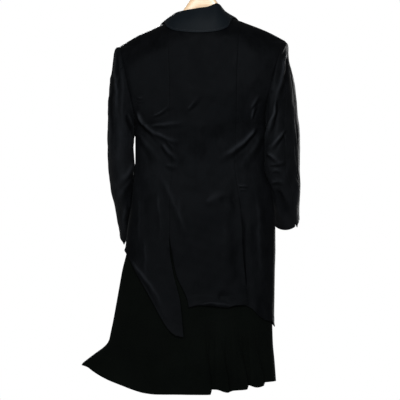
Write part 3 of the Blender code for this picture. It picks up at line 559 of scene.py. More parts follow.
SLEEVE_RIDGES = Table(
    "x0 drop0 x1 drop1 x2 drop2 height width under",
    (238, 214, 237, 330, 231, 450, 3.6, 4.2, 0.6),
    (250, 250, 256, 380, 251, 540, 2.6, 4, 0.4),
    (206, 396, 194, 424, 190, 462, 2.8, 4.5, 0.7),
    (198, 440, 202, 480, 196, 520, 2.2, 5, 0.5),
    (190, 528, 206, 566, 244, 606, 2.4, 8, 0.9),
    (196, 566, 212, 600, 240, 640, 2, 7, 0.6),
    (214, 640, 220, 690, 214, 740, 2, 7, 0.4),
    (-228, 218, -218, 296, -198, 372, 4.6, 5, 0.7),
    (-200, 356, -188, 430, -174, 486, 4.8, 5, 0.8),
    (-226, 440, -206, 470, -178, 496, 4, 5, 0.7),
    (-240, 330, -250, 430, -258, 560, 1.2, 5, 0.4),
    (-174, 504, -194, 514, -214, 538, 3.2, 4.5, 0.7),
    (-186, 534, -202, 540, -224, 526, 2.8, 4.5, 0.6),
    (-190, 556, -206, 550, -220, 558, 2.2, 4.5, 0.6),
    (-184, 588, -204, 580, -226, 586, 2.4, 5, 0.8),
    (-198, 602, -222, 636, -250, 690, -4.5, 7, 0),
    (-190, 616, -204, 656, -222, 694, 2, 7, 0.3),
    (-262, 560, -262, 620, -256, 690, 2, 6, 0.4),
    (-198, 332, -160, 336, -130, 362, 2.2, 6, 0.4),
)

# The inside of the elbow, x outward from the middle
ELBOW_RIDGES = Table(
    "x0 drop0 x1 drop1 x2 drop2 height width under",
    (196, 520, 224, 534, 250, 528, 3, 6, 0.6),
    (198, 545, 226, 560, 254, 552, 3.4, 6.5, 0.6),
    (200, 575, 226, 588, 254, 580, 3, 6.5, 0.6),
    (206, 604, 228, 616, 250, 610, 2.2, 7, 0.5),
    (206, 470, 222, 490, 244, 494, 2, 8, 0.5),
    (210, 380, 216, 430, 212, 480, 2, 8, 0.4),
    (240, 330, 246, 420, 244, 500, 2, 9, 0.4),
    (236, 640, 232, 680, 228, 720, 2, 9, 0.4),
)

# How much fuller the finished body's sides are than its solids, where the arms press on them
FULLER_SIDES = Table(
    "drop left right",
    (404, 0, 0), (426, 5.5, 2.3), (446, 6, 2.6), (456, 3.5, 2), (462, 0.5, 1.9), (530, 0, 2.4),
    (548, 2.5, 2.3), (580, 3, 3.1), (610, 1, 2.5), (640, 0, 0),
)

# How far each sleeve's inner side leans on the body
SLEEVE_LEAN = Table(
    "drop left right", (410, 0, 0), (430, 2, 2.5), (460, 0, 3), (540, 0, 3), (600, 1, 3), (640, 0, 0)
)

# Painted sheen and shade on the pile, by drop, in the body's middle and at its sides and on each sleeve:
# above 0 lighter, below 0 darker
BODY_PAINTED_SHEEN = Table(
    "drop middle side",
    (80, -0.1, 0.04), (180, -0.36, 0.02), (350, -0.32, -0.02), (430, -0.08, 0.05), (500, 0.03, 0.12),
    (560, 0.02, 0.11), (620, -0.06, 0.06), (690, -0.35, -0.03), (900, -0.35, 0.01),
)
SLEEVE_PAINTED_SHEEN = Table(
    "drop left right",
    (150, 0.15, 0.02), (380, 0.19, 0.09), (460, 0.3, 0.13), (600, 0.22, 0.16), (700, 0.1, 0.18),
)

# Low waves over all the cloth: across and down in turns per metre, phase, height
WAVES = (
    (9.0, 2.2, 0.4, 0.5), (-6.3, 7.1, 2.1, 0.5), (14.2, 3.7, 1.2, 0.3), (4.1, -12.4, 4.0, 0.3),
    (19.0, 9.5, 5.2, 0.16), (-23.0, 16.0, 0.9, 0.13), (11.0, 31.0, 3.3, 0.1),
)


def side_edge(face, side, drop):
    """Where a torso face ends at one side: on the armhole, or on the side seam below it."""
    ring = {name: column[0] for name, column in SLEEVES[side].columns.items()}
    roll = math.radians(ring["roll"])
    turn = math.radians(ring["turn"])
    up = np.clip((ring["drop"] - drop) / (ring["width"] * math.sin(roll)), -1, 1)
    back = face * np.sqrt(1 - up**2) * ring["depth"]
    arm_x = ring["x"] + ring["width"] * math.cos(roll) * up - back * math.sin(turn)
    arm_y = back * math.cos(turn)
    below = drop > UNDERARM
    return side * np.where(below, BODY.at(WORDS[side], drop), arm_x), np.where(below, 0.0, arm_y)


def curve(start, middle, end, steps):
    """Places from start to end, drawn towards middle on the way."""
    return (1 - steps) ** 2 * start + 2 * steps * (1 - steps) * middle + steps**2 * end


def wandered(x, drop):
    """Places moved by a millimetre or two, so that no ridge runs along a smooth arc."""
    x = x + 1.5 * np.sin(0.061 * drop + 0.023 * x + 0.7) + 0.7 * np.sin(0.17 * drop - 0.05 * x)
    drop = drop + 1.3 * np.sin(0.071 * x - 0.019 * drop + 2.1) + 0.7 * np.sin(0.16 * x + 0.06 * drop)
    return x, drop


def relief(folds, x, drop):
    """Height of one table's ridges and troughs on the cloth, with the painted highlight beside each crest and
    the painted shade in its trough and along each hollow.
    """
    total = np.zeros(np.broadcast(x, drop).shape)
    painted_light = np.zeros(total.shape)
    steps = np.linspace(0, 1, LINE_POINTS)
    x, drop = wandered(x, drop)
    for row in zip(*folds.columns.values()):
        x0, drop0, x1, drop1, x2, drop2, height, width, under = row
        line_x = curve(x0, x1, x2, steps)
        line_drop = curve(drop0, drop1, drop2, steps)
        best = np.full(total.shape, np.inf)
        along = np.zeros(total.shape)
        signed = np.zeros(total.shape)
        lean = line_x + line_drop * 0.2
        lower = 1 if lean[-1] > lean[0] else -1
        for i in range(LINE_POINTS - 1):
            dx = line_x[i + 1] - line_x[i]
            dd = line_drop[i + 1] - line_drop[i]
            t = np.clip(((x - line_x[i]) * dx + (drop - line_drop[i]) * dd) / (dx * dx + dd * dd), 0, 1)
            off_x = x - line_x[i] - t * dx
            off_drop = drop - line_drop[i] - t * dd
            away = np.hypot(off_x, off_drop)
            near = away < best
            along = np.where(near, (i + t) / (LINE_POINTS - 1), along)
            signed = np.where(near, lower * np.sign(dx * off_drop - dd * off_x) * away, signed)
            best = np.minimum(away, best)
        fade = ease(along, 0, FADE_IN) * (1 - ease(along, FADE_OUT, 1)) ** FADE_POWER
        width = width * (START_WIDTH + WIDENING * along)
        crest = bell(best, width)
        total = total + height * fade * (crest - under * bell(signed - TROUGH_AT * width, width))
        # Painted highlight along one side of each raised crest, painted shade in the trough beside it, and
        # painted shade along the bottom of each hollow
        strength = fade * np.clip(height / FULL_HIGHLIGHT_HEIGHT, 0, 1) * np.clip(4 * under, 0, 1)
        sunk = 0.5 * fade * np.clip(-height / FULL_SHADE_DEPTH, 0, 1) * crest
        painted_highlight = bell(signed - PAINTED_HIGHLIGHT_AT * width, PAINTED_HIGHLIGHT_WIDTH * width)
        painted_shade = np.clip(under * 1.6, 0, 1) * bell(signed - PAINTED_SHADE_AT * width, PAINTED_SHADE_WIDTH * width)
        painted_light = painted_light + strength * (painted_highlight - painted_shade) - sunk
    return total, painted_light


def waves(x, drop):
    """Height of the low waves that run over all the cloth."""
    total = np.zeros(np.broadcast(x, drop).shape)
    for across, down, phase, height in WAVES:
        bend = 0.8 * np.sin(drop * 0.011 + phase * 3)
        total = total + height * np.sin(2 * math.pi * (across * x + down * drop) * MM + phase + bend)
    return total


def across_body(face, x, drop):
    """How far out each place lies, 0 in the middle and 1 at its side, and y at that side."""
    left_x, left_y = side_edge(face, 1, drop)
    right_x, right_y = side_edge(face, -1, drop)
    u = np.clip(np.where(x >= 0, x / left_x, x / right_x), 0, 1)
    return u, np.where(x >= 0, left_y, right_y)


def bulged(u, power=SECTION_POWER):
    """Depth of a rounded section: 1 in the middle, where u is 0, and 0 at the side."""
    return (1 - u**power) ** (1 / power)


def torso(face, x, drop, inset=0.0):
    """Points of the body's smooth surface behind or before the side seams."""
    x = np.asarray(x, dtype=float)
    drop = np.asarray(drop, dtype=float)
    u, edge = across_body(face, x, drop)
    below_ridge = np.clip((drop - RIDGE.at("drop", x)) / SHOULDER_ROUND, 0, 1)
    depth = BODY.at(FACES[face], drop) * np.sqrt(1 - (1 - below_ridge) ** 2)
    bulge = bulged(u)
    near_edge = (1 - bulge) ** EDGE_REACH
    y = edge * near_edge + face * ((depth - inset) * bulge + CLOSE_SEAM / 2)
    fuller = np.where(x >= 0, FULLER_SIDES.at("left", drop), -FULLER_SIDES.at("right", drop))
    return np.stack([x + fuller * ease(u, FULLER_FROM, 1), y, -drop], axis=-1)


def torso_folds(face, x, drop):
    """Folds and waves of the body's cloth, which die away at the armholes and side seams."""
    u, _ = across_body(face, x, drop)
    calm = ease(1 - u, 0, CALM_SIDE) * ease(drop - RIDGE.at("drop", x), 0, CALM_SHOULDER)
    height, painted_light = relief(BACK_RIDGES if face == 1 else FRONT_RIDGES, x, drop)
    # Painted sheen and shade on the pile, from the middle out to the sides
    lay = BODY_PAINTED_SHEEN.at("middle", drop) * (1 - u) + BODY_PAINTED_SHEEN.at("side", drop) * u
    return (height + waves(x, drop)) * calm, painted_light * calm + lay


def crowded(count, soft=0.15):
    """Values from 0 to 1, close together near 0; a higher soft spreads them more evenly."""
    v = np.linspace(0, 1, count)
    return (np.sqrt(v * v + soft * soft) - soft) / (math.sqrt(1 + soft * soft) - soft)


def neckline(x):
    """Drop of the neck's edge at the back."""
    across = (x - NECK_CENTRE) / NECK_HALF_WIDTH
    right = RIDGE.at("drop", NECK_CENTRE - NECK_HALF_WIDTH)
    left = RIDGE.at("drop", NECK_CENTRE + NECK_HALF_WIDTH)
    level = right + (left - right) * (across + 1) / 2
    return level + NECK_SCOOP * np.sqrt(np.clip(1 - across**2, 0, 1))


def panel_drops(top, hem, upper, lower):
    """Drops of a panel's rows, for each of its columns."""
    down = UNDERARM + (hem - UNDERARM) * np.linspace(0, 1, lower + 1)[1:, None]
    return np.vstack([top + (UNDERARM - top) * upper[:, None], down])


def settled_on_ridge(x, top_x, upper):
    """Moves a panel's upper rows sideways, so that its top row meets the shoulder line."""
    fade = np.ones(len(x))
    fade[: len(upper)] = ease(upper, 0, TOP_ROW_HOLD)
    return x + (top_x - x[0]) * (1 - fade)[:, None]


def normals_of(grid, towards):
    """Unit normals of a grid, on the side that the directions in towards look to."""
    normal = unit(np.cross(np.gradient(grid, axis=1), np.gradient(grid, axis=0)))
    return normal if np.sum(normal * towards) > 0 else -normal


def from_edge(grid, edge):
    """Distance along the cloth from one edge of a grid: left and right are its first and last columns."""
    axis = 1 if edge in ("left", "right") else 0
    steps = np.linalg.norm(np.diff(grid, axis=axis), axis=-1)
    if edge in ("right", "bottom"):
        steps = np.flip(steps, axis=axis)
    start = np.zeros_like(np.take(steps, [0], axis=axis))
    total = np.concatenate([start, np.cumsum(steps, axis=axis)], axis=axis)
    return np.flip(total, axis=axis) if edge in ("right", "bottom") else total


def seam_dip(distance, along):
    """A sewn edge: it turns in, with small puckers beside it."""
    pucker = np.sin(along * 0.36 + 1.7 * np.sin(along * 0.05)) * np.exp(-distance / PUCKER_REACH)
    return PUCKER_HEIGHT * pucker - SEAM_DEPTH * bell(distance, SEAM_WIDTH)


def hem_roll(distance, along):
    """A turned hem: a faint step where its allowance ends, and a rounded lower edge."""
    allowance = HEM_STEP * (1 - ease(distance, HEM_DEPTH - 3, HEM_DEPTH + 2))
    return allowance + ROLL_HEIGHT * bell(distance, ROLL_REACH) * (1 + 0.5 * np.sin(along * 0.045))


def mesh_piece(name, points, faces, finish):
    """A smooth mesh from points in millimetres and faces that all have four corners."""
    mesh = bpy.data.meshes.new(name)
    points = np.asarray(points, dtype=np.float32) * MM
    faces = np.asarray(faces, dtype=np.int32)
    mesh.vertices.add(len(points))
    mesh.vertices.foreach_set("co", points.ravel())
    mesh.loops.add(faces.size)
    mesh.loops.foreach_set("vertex_index", faces.ravel())
    mesh.polygons.add(len(faces))
    mesh.polygons.foreach_set("loop_start", np.arange(0, faces.size, faces.shape[1], dtype=np.int32))
    mesh.update(calc_edges=True)
    mesh.validate()
    mesh.materials.append(finish)
    mesh.shade_smooth()
    made = bpy.data.objects.new(name, mesh)
    bpy.context.scene.collection.objects.link(made)
    return made


def grid_faces(rows, columns, closed=False):
    """Faces between a grid's points; closed joins its last column to its first."""
    i = np.arange(rows - 1)[:, None]
    j = np.arange(columns if closed else columns - 1)[None, :]
    k = (j + 1) % columns
    corners = [i * columns + j, i * columns + k, (i + 1) * columns + k, (i + 1) * columns + j]
    return np.stack([np.broadcast_to(c, (rows - 1, j.shape[1])) for c in corners], axis=-1).reshape(-1, 4)


def finished(piece, slot_name, *nodes):
    """Rides on the one body and stands for its solids; slot_name is not used."""
    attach(piece, "root")
    if nodes:
        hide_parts(*nodes)


def cloth(name, node, grid, wall, finish, slot_name, painted_light=None):
    """One piece of cloth: a wall with rounded edges about a grid of points."""
    made = mesh_piece(name, grid.reshape(-1, 3), grid_faces(*grid.shape[:2]), finish)
    # The painted highlights, sheen and shade ride on the mesh as a point attribute
    if painted_light is not None:
        pile = made.data.attributes.new("painted_pile_light", "FLOAT", "POINT")
        pile.data.foreach_set("value", np.clip(painted_light, -1, 1).astype(np.float32).ravel())
    thick = made.modifiers.new("wall", "SOLIDIFY")
    thick.thickness = wall * MM
    thick.offset = 0.0
    thick.use_quality_normals = True
    edge = made.modifiers.new("rounded_edge", "BEVEL")
    edge.width = wall * EDGE_ROUNDING * MM
    edge.segments = 2
    edge.limit_method = "ANGLE"
    edge.angle_limit = math.radians(EDGE_ANGLE)
    finished(made, slot_name, node)


def velvet_panel(node, grid, heights, painted_light, towards, seams):
    """Raises a panel's folds, sinks its seams by their strengths, rolls its hem and makes it."""
    normal = normals_of(grid, towards)
    for edge, strength in seams.items():
        heights = heights + strength * seam_dip(from_edge(grid, edge), from_edge(grid, "top"))
    heights = heights + hem_roll(from_edge(grid, "bottom"), from_edge(grid, "left"))
    grid = grid + normal * heights[..., None]
    cloth("velvet_" + node, node, grid, VELVET_WALL, VELVET, "velvet", painted_light)


def back_centre():
    """The centre back panel, which lifts a little along its right edge beside the vent."""
    at_right, at_neck, at_left = CENTRE_COLUMNS
    neck = NECK_CENTRE + NECK_HALF_WIDTH * np.sin(np.radians(np.linspace(-90, 90, at_neck)))
    right = np.linspace(-PRINCESS_TOP + CLOSE_SEAM / 2, neck[0], at_right)
    left = np.linspace(neck[-1], PRINCESS_TOP - CLOSE_SEAM / 2, at_left)
    top_x = np.concatenate([right[:-1], neck, left[1:]])
    inside = (top_x >= neck[0]) & (top_x <= neck[-1])
    top = np.where(inside, neckline(top_x), RIDGE.at("drop", top_x))
    tight = (top_x - top_x[0]) / (top_x[-1] - top_x[0])
    even = np.linspace(0, 1, len(top_x))
    upper = crowded(UPPER_ROWS)
    drops = panel_drops(top, BACK_CENTRE_HEM.at("drop", even), upper, LOWER_ROWS["centre"])
    across = tight + (even - tight) * ease(drops, *SPREAD_DROPS)
    right = RIGHT_SEAM.at("x", drops) + CLOSE_SEAM / 2
    left = LEFT_SEAM.at("centre", drops) - CLOSE_SEAM / 2
    x = settled_on_ridge(right + (left - right) * across, top_x, upper)
    grid = torso(1, x, drops)
    heights, painted_light = torso_folds(1, x, drops)
    above_vent = 1 - ease(drops, *VENT_SEAM_ENDS)
    seams = {"left": PRINCESS_DIP * above_vent, "right": PRINCESS_DIP}
    open_edge = bell(from_edge(grid, "left"), VENT_LIFT_REACH) * between(drops, *VENT_LIFT_DROPS)
    heights = heights + VENT_LIFT * open_edge
    velvet_panel("back_centre", grid, heights, painted_light, [0.0, 1.0, 0.0], seams)


def side_panel(face, side, top_inner, columns, hem, lower, inner_edge):
    """x and drop of a side panel's points: inner_edge gives its inner edge, the body its outer one."""
    tip, _ = side_edge(face, side, np.array(0.0))
    top_x = top_inner + (tip - top_inner) * columns
    upper = crowded(UPPER_ROWS)
    drops = panel_drops(RIDGE.at("drop", top_x), hem.at("drop", columns), upper, lower)
    outer, _ = side_edge(face, side, drops)
    inner = inner_edge(drops)
    return settled_on_ridge(inner + (outer - inner) * columns, top_x, upper), drops


def left_seam_edge(drops):
    """The left side back panel's edge, along its princess seam and vent."""
    return LEFT_SEAM.at("side", drops) + CLOSE_SEAM / 2


def right_vent_edge(drops):
    """The right side back panel's edge, which runs on under the centre panel at the vent."""
    return RIGHT_SEAM.at("x", drops) - CLOSE_SEAM / 2 + VENT_UNDERLAP * ease(drops, *VENT_UNDERLAP_GROWS)


def back_side(side):
    """A side back panel. The right one runs on under the centre panel at its vent."""
    columns = 1 - crowded(*BACK_SIDE_COLUMNS)[::-1]
    top_inner = side * (PRINCESS_TOP + CLOSE_SEAM / 2)
    hem = BACK_LEFT_HEM if side == 1 else BACK_RIGHT_HEM
    inner_edge = left_seam_edge if side == 1 else right_vent_edge
    x, drops = side_panel(1, side, top_inner, columns, hem, LOWER_ROWS["back_side"], inner_edge)
    inset = 0.0
    if side == -1:
        seam = RIGHT_SEAM.at("x", drops)
        start, full = VENT_INSET_ACROSS
        inset = VENT_INSET * ease(x, seam - start, seam - full) * ease(drops, *VENT_INSET_GROWS)
    grid = torso(1, x, drops, inset)
    heights, painted_light = torso_folds(1, x, drops)
    if side == -1:
        # Painted shade on the side panel's pile along the vent's seam, where the panel also sinks
        reach = VENT_SHADE_WIDTH * (1 - VENT_SHADE_NARROWING * ease(drops, *VENT_SHADE_NARROWS))
        shade = np.exp(-((np.clip(seam - x, 0, None) / reach) ** 4)) * between(drops, *VENT_SHADE_DROPS)
        painted_light = painted_light * (1 - shade) - shade
        heights = heights - VENT_SINK * shade
    seams = {"left": PRINCESS_DIP, "right": SIDE_DIP}
    velvet_panel("back_side_" + WORDS[side], grid, heights, painted_light, [side * 0.3, 1.0, 0.0], seams)


def front(side):
    """One front. The left one lies deeper where the right one laps over it."""
    name = "front_" + WORDS[side]
    columns = 1 - crowded(*FRONT_COLUMNS)[::-1]
    edge, hem = (LEFT_EDGE, FRONT_LEFT_HEM) if side == 1 else (RIGHT_EDGE, FRONT_RIGHT_HEM)
    top_inner = NECK_CENTRE + side * NECK_HALF_WIDTH
    x, drops = side_panel(-1, side, top_inner, columns, hem, LOWER_ROWS[name], lambda at: edge.at("x", at))
    under_right = FRONT_INSET + HEM_ROOM * ease(drops, *HEM_ROOM_DROPS)
    inset = under_right * (1 - ease(x, *FRONT_OVERLAP)) if side == 1 else 0.0
    grid = torso(-1, x, drops, inset)
    folded = ease(np.abs(x - BUTTON_X), *FRONT_FLAT)
    heights, painted_light = torso_folds(-1, x, drops)
    heights = heights * (FRONT_FLATNESS + (1 - FRONT_FLATNESS) * folded)
    towards = [side * 0.3, -1.0, 0.0]
    velvet_panel(name, grid, heights, painted_light * folded, towards, {"right": SIDE_DIP})


def side_reach(side, y, drop):
    """How far the body's side stands out from the middle, at a distance y behind or before its seam."""
    depth = np.where(y > 0, BODY.at("back", drop), BODY.at("front", drop))
    edge, _ = side_edge(1, side, drop)
    u = bulged(np.clip(np.abs(y) / depth, 0, 1))
    return np.abs(edge) * u + FULLER_SIDES.at(WORDS[side], drop) * ease(u, FULLER_FROM, 1)


def sleeve_piece(side, upper):
    """The upper or the under sleeve, split at the hindarm and front seams."""
    table = SLEEVES[side]
    hind = HINDARM_SEAM[side]
    below = np.linspace(UNDERARM_ROW, table.key[-1], SLEEVE_LOWER_ROWS[side])
    rows = np.concatenate([np.linspace(0, UNDERARM_ROW, SLEEVE_UPPER_ROWS), below[1:]])
    if upper:
        angles = np.linspace(hind - SLEEVE_GAP, FRONT_SEAM - 360 + SLEEVE_GAP, UPPER_SLEEVE_COLUMNS)
    else:
        angles = np.linspace(hind + SLEEVE_GAP, FRONT_SEAM - SLEEVE_GAP, UNDER_SLEEVE_COLUMNS)
    row_grid, angle_grid = np.meshgrid(rows, np.radians(angles), indexing="ij")
    grid = sleeve_point(side, row_grid, angle_grid)
    grid[..., 0] += side * SLEEVE_TUCK * (1 - ease(row_grid, *TUCK_ROWS))
    centre = (sleeve_point(side, row_grid, 0.0) + sleeve_point(side, row_grid, math.pi)) / 2
    x = grid[..., 0]
    drop = -grid[..., 2]
    behind = ease(np.sin(angle_grid), *REAR_SIDE)
    top = from_edge(grid, "top")
    rear, rear_painted_light = relief(SLEEVE_RIDGES, x, drop)
    elbow, elbow_painted_light = relief(ELBOW_RIDGES, side * x, drop)
    head_calm = ease(top, *HEAD_CALM)
    heights = rear * behind * head_calm + elbow * (1 - behind)
    painted_light = rear_painted_light * behind * head_calm + elbow_painted_light * (1 - behind)
    # Painted sheen along each sleeve
    painted_light = painted_light + SLEEVE_PAINTED_SHEEN.at(WORDS[side], drop)
    heights += waves(x + FRONT_WAVES_SHIFT * (1 - behind), drop) * ease(top, 4, 30)
    heights -= HEAD_SEAM_DEPTH * bell(top, HEAD_SEAM_WIDTH)
    across = table.at("x", row_grid) - side * x
    inner = np.clip(across / table.at("width", row_grid), 0, 1) ** 2
    grid[..., 0] -= side * SLEEVE_LEAN.at(WORDS[side], drop) * inner
    standing = np.maximum(heights, 0) * ease(across / table.at("width", row_grid), *INNER_SIDE)
    pressed_in = side_reach(side, grid[..., 1], drop) + SLEEVE_REST + standing - side * grid[..., 0]
    grid[..., 0] += side * np.maximum(pressed_in, 0) * ease(drop, *SLEEVE_REST_DROPS)
    if upper:
        over = ease(np.cos(angle_grid - 0.2), -0.1, 0.8)
        heights += HEAD_FULLNESS * over * bell(top - HEAD_FULLNESS_AT, HEAD_FULLNESS_WIDTH)
        low = ease(drop, drop[-1, 0] - CUFF_CORNER, drop[-1, 0] + 4)
        corner = np.clip(1 - np.abs(np.degrees(angle_grid) - hind) / CUFF_CORNER_ANGLE, 0, 1) ** 1.5
        grid[..., 0] += side * CUFF_FLIP * low**2 * corner
        grid[..., 2] -= CUFF_DROOP * low**2 * corner
    node = "sleeve_%s_%s" % ("upper" if upper else "under", WORDS[side])
    seams = {"left": SLEEVE_DIP, "right": SLEEVE_DIP}
    velvet_panel(node, grid, heights, painted_light, grid - centre, seams)


def lifted(face, x, drop, height):
    """Points at a height out from the body's surface."""
    step = 0.5
    here = torso(face, x, drop)
    across = torso(face, np.asarray(x) + step, drop) - torso(face, np.asarray(x) - step, drop)
    down = torso(face, x, np.asarray(drop) + step) - here
    normal = unit(np.cross(across, down))
    normal = normal * np.where(np.sum(normal * here * [0, 1, 0], axis=-1, keepdims=True) < 0, -1, 1)
    return here + normal * np.asarray(height)[..., None]


def sleeve_point(side, row, angle):
    """A point of a sleeve: angle 0 is its outer side, 90 its rear, 180 its inner side."""
    table = SLEEVES[side]
    angles = ("roll", "pitch", "turn", "swing")
    roll, pitch, turn, swing = (np.radians(table.at(name, row)) for name in angles)
    width = table.at("width", row) * np.cos(angle)
    depth = table.at("depth", row) * np.sin(angle)
    out = table.at("x", row) + width * np.cos(roll) * np.cos(swing) - depth * np.cos(pitch) * np.sin(turn)
    back = table.at("y", row) + width * np.cos(roll) * np.sin(swing) + depth * np.cos(pitch) * np.cos(turn)
    drop = table.at("drop", row) - width * np.sin(roll) + depth * np.sin(pitch)
    return np.stack([side * out, back, -drop], axis=-1)


def unrolled(below_ridge):
    """Distance over the rounded shoulder, for a drop below its line."""
    near = np.clip(below_ridge / SHOULDER_ROUND, 0, 1)
    return SHOULDER_ROUND * np.sqrt(1 - (1 - near) ** 2) + np.clip(below_ridge - SHOULDER_ROUND, 0, None)


def rolled(distance):
    """The inverse of unrolled."""
    near = np.clip(distance / SHOULDER_ROUND, 0, 1)
    return SHOULDER_ROUND * (1 - np.sqrt(1 - near**2)) + np.clip(distance - SHOULDER_ROUND, 0, None)


def on_body(x, signed, height):
    """Points lying on the body, before the shoulder line where signed is negative."""
    drop = RIDGE.at("drop", x) + rolled(np.abs(signed))
    behind = lifted(1, x, drop, height)
    before = lifted(-1, x, drop, height)
    return np.where((signed > 0)[..., None], behind, before)


def collar_lines(rows):
    """The collar's roll and outer edge at each row, on the body, and its roll where it hangs free."""
    on = COLLAR.columns["on"]
    faces = {"edge": on, "roll": np.where(on == 0, 1, on)}
    behind = (rows >= FALL_ROWS[0]) & (rows <= FALL_ROWS[1])
    before = (rows <= LAPEL_ROWS[0]) | (rows >= LAPEL_ROWS[1])
    lines = {}
    for line, face in faces.items():
        knots_x, knots_drop = COLLAR.columns[line + "_x"], COLLAR.columns[line + "_drop"]
        knots = face * unrolled(knots_drop - RIDGE.at("drop", knots_x))
        x = COLLAR.at(line + "_x", rows)
        down = unrolled(COLLAR.at(line + "_drop", rows) - RIDGE.at("drop", x))
        over = np.where(before, -down, through(COLLAR.key, knots, rows))
        lines[line] = (x, np.where(behind, down, over) if line == "edge" else over)
    roll_x = COLLAR.columns["roll_x"]
    roll_y = COLLAR.columns["roll_y"].copy()
    laid = COLLAR.columns["laid"] == 1
    roll_y[laid] = lifted(-1, roll_x, COLLAR.columns["roll_drop"], np.full(len(roll_x), LAID_ON))[laid, 1]
    free_y = through(COLLAR.key, roll_y, rows)
    free = np.stack([lines["roll"][0], free_y, -COLLAR.at("roll_drop", rows)], axis=-1)
    return lines["edge"], lines["roll"], free


def fall_grid(rows, across):
    """The fall and lapels from the roll line (0) to the outer edge (1), and the free roll line."""
    edge, roll, free = collar_lines(rows)
    laid_x = roll[0][:, None] + (edge[0] - roll[0])[:, None] * across
    laid_signed = roll[1][:, None] + (edge[1] - roll[1])[:, None] * across
    roll_drop, edge_drop = (COLLAR.at(name, rows)[:, None] for name in ("roll_drop", "edge_drop"))
    height = LAID_ON + ROLL_SOFTNESS * np.exp(-across / ROLL_SOFT_REACH)[None, :] + 0 * laid_x
    over = on_body(laid_x, laid_signed, height)
    before = lifted(-1, laid_x, roll_drop + (edge_drop - roll_drop) * across, height)
    first, last = LAPEL_ROWS
    lapel = 1 - ease(rows, first - 1, first) + ease(rows, last, last + 1)
    laid = over + (before - over) * lapel[:, None, None]
    outer = on_body(edge[0], edge[1], np.full(len(rows), LAID_ON))
    outward = outer - free
    bow = COLLAR_ARCH * np.linalg.norm(outward, axis=1)
    arch = bow[:, None, None] * np.sin(math.pi * across)[None, :, None]
    outward[:, 2] = 0
    outward = unit(outward)
    outward[:, 2] = COLLAR_ARCH_RISE
    hung = free[:, None] + (outer - free)[:, None] * across[None, :, None] + arch * outward[:, None]
    return hung + (laid - hung) * COLLAR.at("laid", rows)[:, None, None], free


def stand_grid(rows, free):
    """The band inside the fall, from the roll line down to the neck's seam."""
    first, last = STAND_ROWS
    _, _, ends = collar_lines(np.array(STAND_ROWS))
    _, _, path = collar_lines(np.clip(rows, first, last))
    across_neck = 2 * (path[:, 0] - ends[1, 0]) / (ends[0, 0] - ends[1, 0]) - 1
    neck_x = NECK_CENTRE + across_neck * (NECK_HALF_WIDTH - 0.01)
    foot = torso(1, neck_x, neckline(neck_x))
    foot[:, 2] += STAND_ABOVE_NECK * (1 + ease(np.abs(neck_x - NECK_CENTRE), 50, NECK_HALF_WIDTH))
    inward = unit(np.stack([NECK_CENTRE - path[:, 0], -path[:, 1], np.zeros(len(rows))], axis=-1))
    head = path + inward * STAND_THICK
    head[:, 2] -= STAND_SINK
    down = np.linspace(0, 1, STAND_COLUMNS)[None, :, None]
    band = head[:, None] + (foot - head)[:, None] * down
    turn, lift = np.array(STAND_FOLD)[:, None, :, None]
    fold = free[:, None] + (head - free)[:, None] * turn + lift * np.array([0, 0, 1.0])
    band = np.concatenate([fold, band], axis=1)
    sunk = np.linspace(0, STAND_TUCK, band.shape[1])[None, :, None]
    tucked = inward[:, None] * STAND_TUCK + np.array([0, 0, -1.0]) * sunk
    inner = free[:, None] + tucked
    present = ease(rows, first - STAND_FADE, first) * (1 - ease(rows, last, last + STAND_FADE))
    return inner + (band - inner) * present[:, None, None]


def fall_normals(fall):
    """Normals of the fall and lapels on their outer face, which looks away from the neck."""
    towards = fall - np.array([NECK_CENTRE, 0.0, 0.0])
    towards[..., 2] = COLLAR_LIFT
    return normals_of(fall, towards)


def collar():
    """Fall, lapels and stand: one cloth, folded over along its roll line."""
    rows = np.unique(np.concatenate([np.linspace(*part) for part in COLLAR_PARTS]))
    fall, _ = fall_grid(rows, crowded(*COLLAR_COLUMNS))
    distance = from_edge(fall, "right")
    along = from_edge(fall, "top")
    heights = COLLAR_EDGE_HEIGHT * bell(distance, COLLAR_EDGE_REACH)
    heights = heights + COLLAR_WAVE * waves(along * 0.7, distance * 1.3)
    fall = fall + fall_normals(fall) * heights[..., None]
    cloth("satin_collar_and_lapels", "collar_and_lapels", fall, VELVET_WALL, SATIN, "satin")
    present = (rows >= STAND_ROWS[0] - STAND_FADE) & (rows <= STAND_ROWS[1] + STAND_FADE)
    band = stand_grid(rows, fall[:, 0])[present]
    cloth("satin_collar_stand", "collar_stand", band, STAND_WALL, SATIN, "satin")


def under_columns(face, hem_left, hem_right):
    """Where the under layer's columns stand: folded into pleats, evenly spread, and how deep."""
    folded = [(x * hem_left, 0.0) for x in PLAIN_COLUMNS]
    if face == 1:
        for fold in PLEAT_FOLDS:
            folded += [(fold + back, deep) for back, deep in PLEAT_PATH]
    tail = BACK_TAIL if face == 1 else FRONT_TAIL
    folded += [(across * hem_right, 0.0) for across in tail]
    plain = len(PLAIN_COLUMNS)
    count = len(folded)
    pleated = np.linspace(plain - 1, count - 1, (count - plain) * UNDER_FINENESS[face] + 1)
    index = np.concatenate([np.linspace(0, plain - 1, PLAIN_MESH_COLUMNS), pleated[1:]])
    folded_x = through(np.arange(count), [x for x, _ in folded], index)
    deep = through(np.arange(count), [deep for _, deep in folded], index)
    even_x = folded_x.copy()
    if face == 1:
        last = count - len(tail) - 1
        inner = (index >= plain) & (index <= last)
        start, end = PLEAT_RANGE
        even_x[inner] = start + (end - start) * (index[inner] - plain) / (last - plain)
    return folded_x, even_x, deep


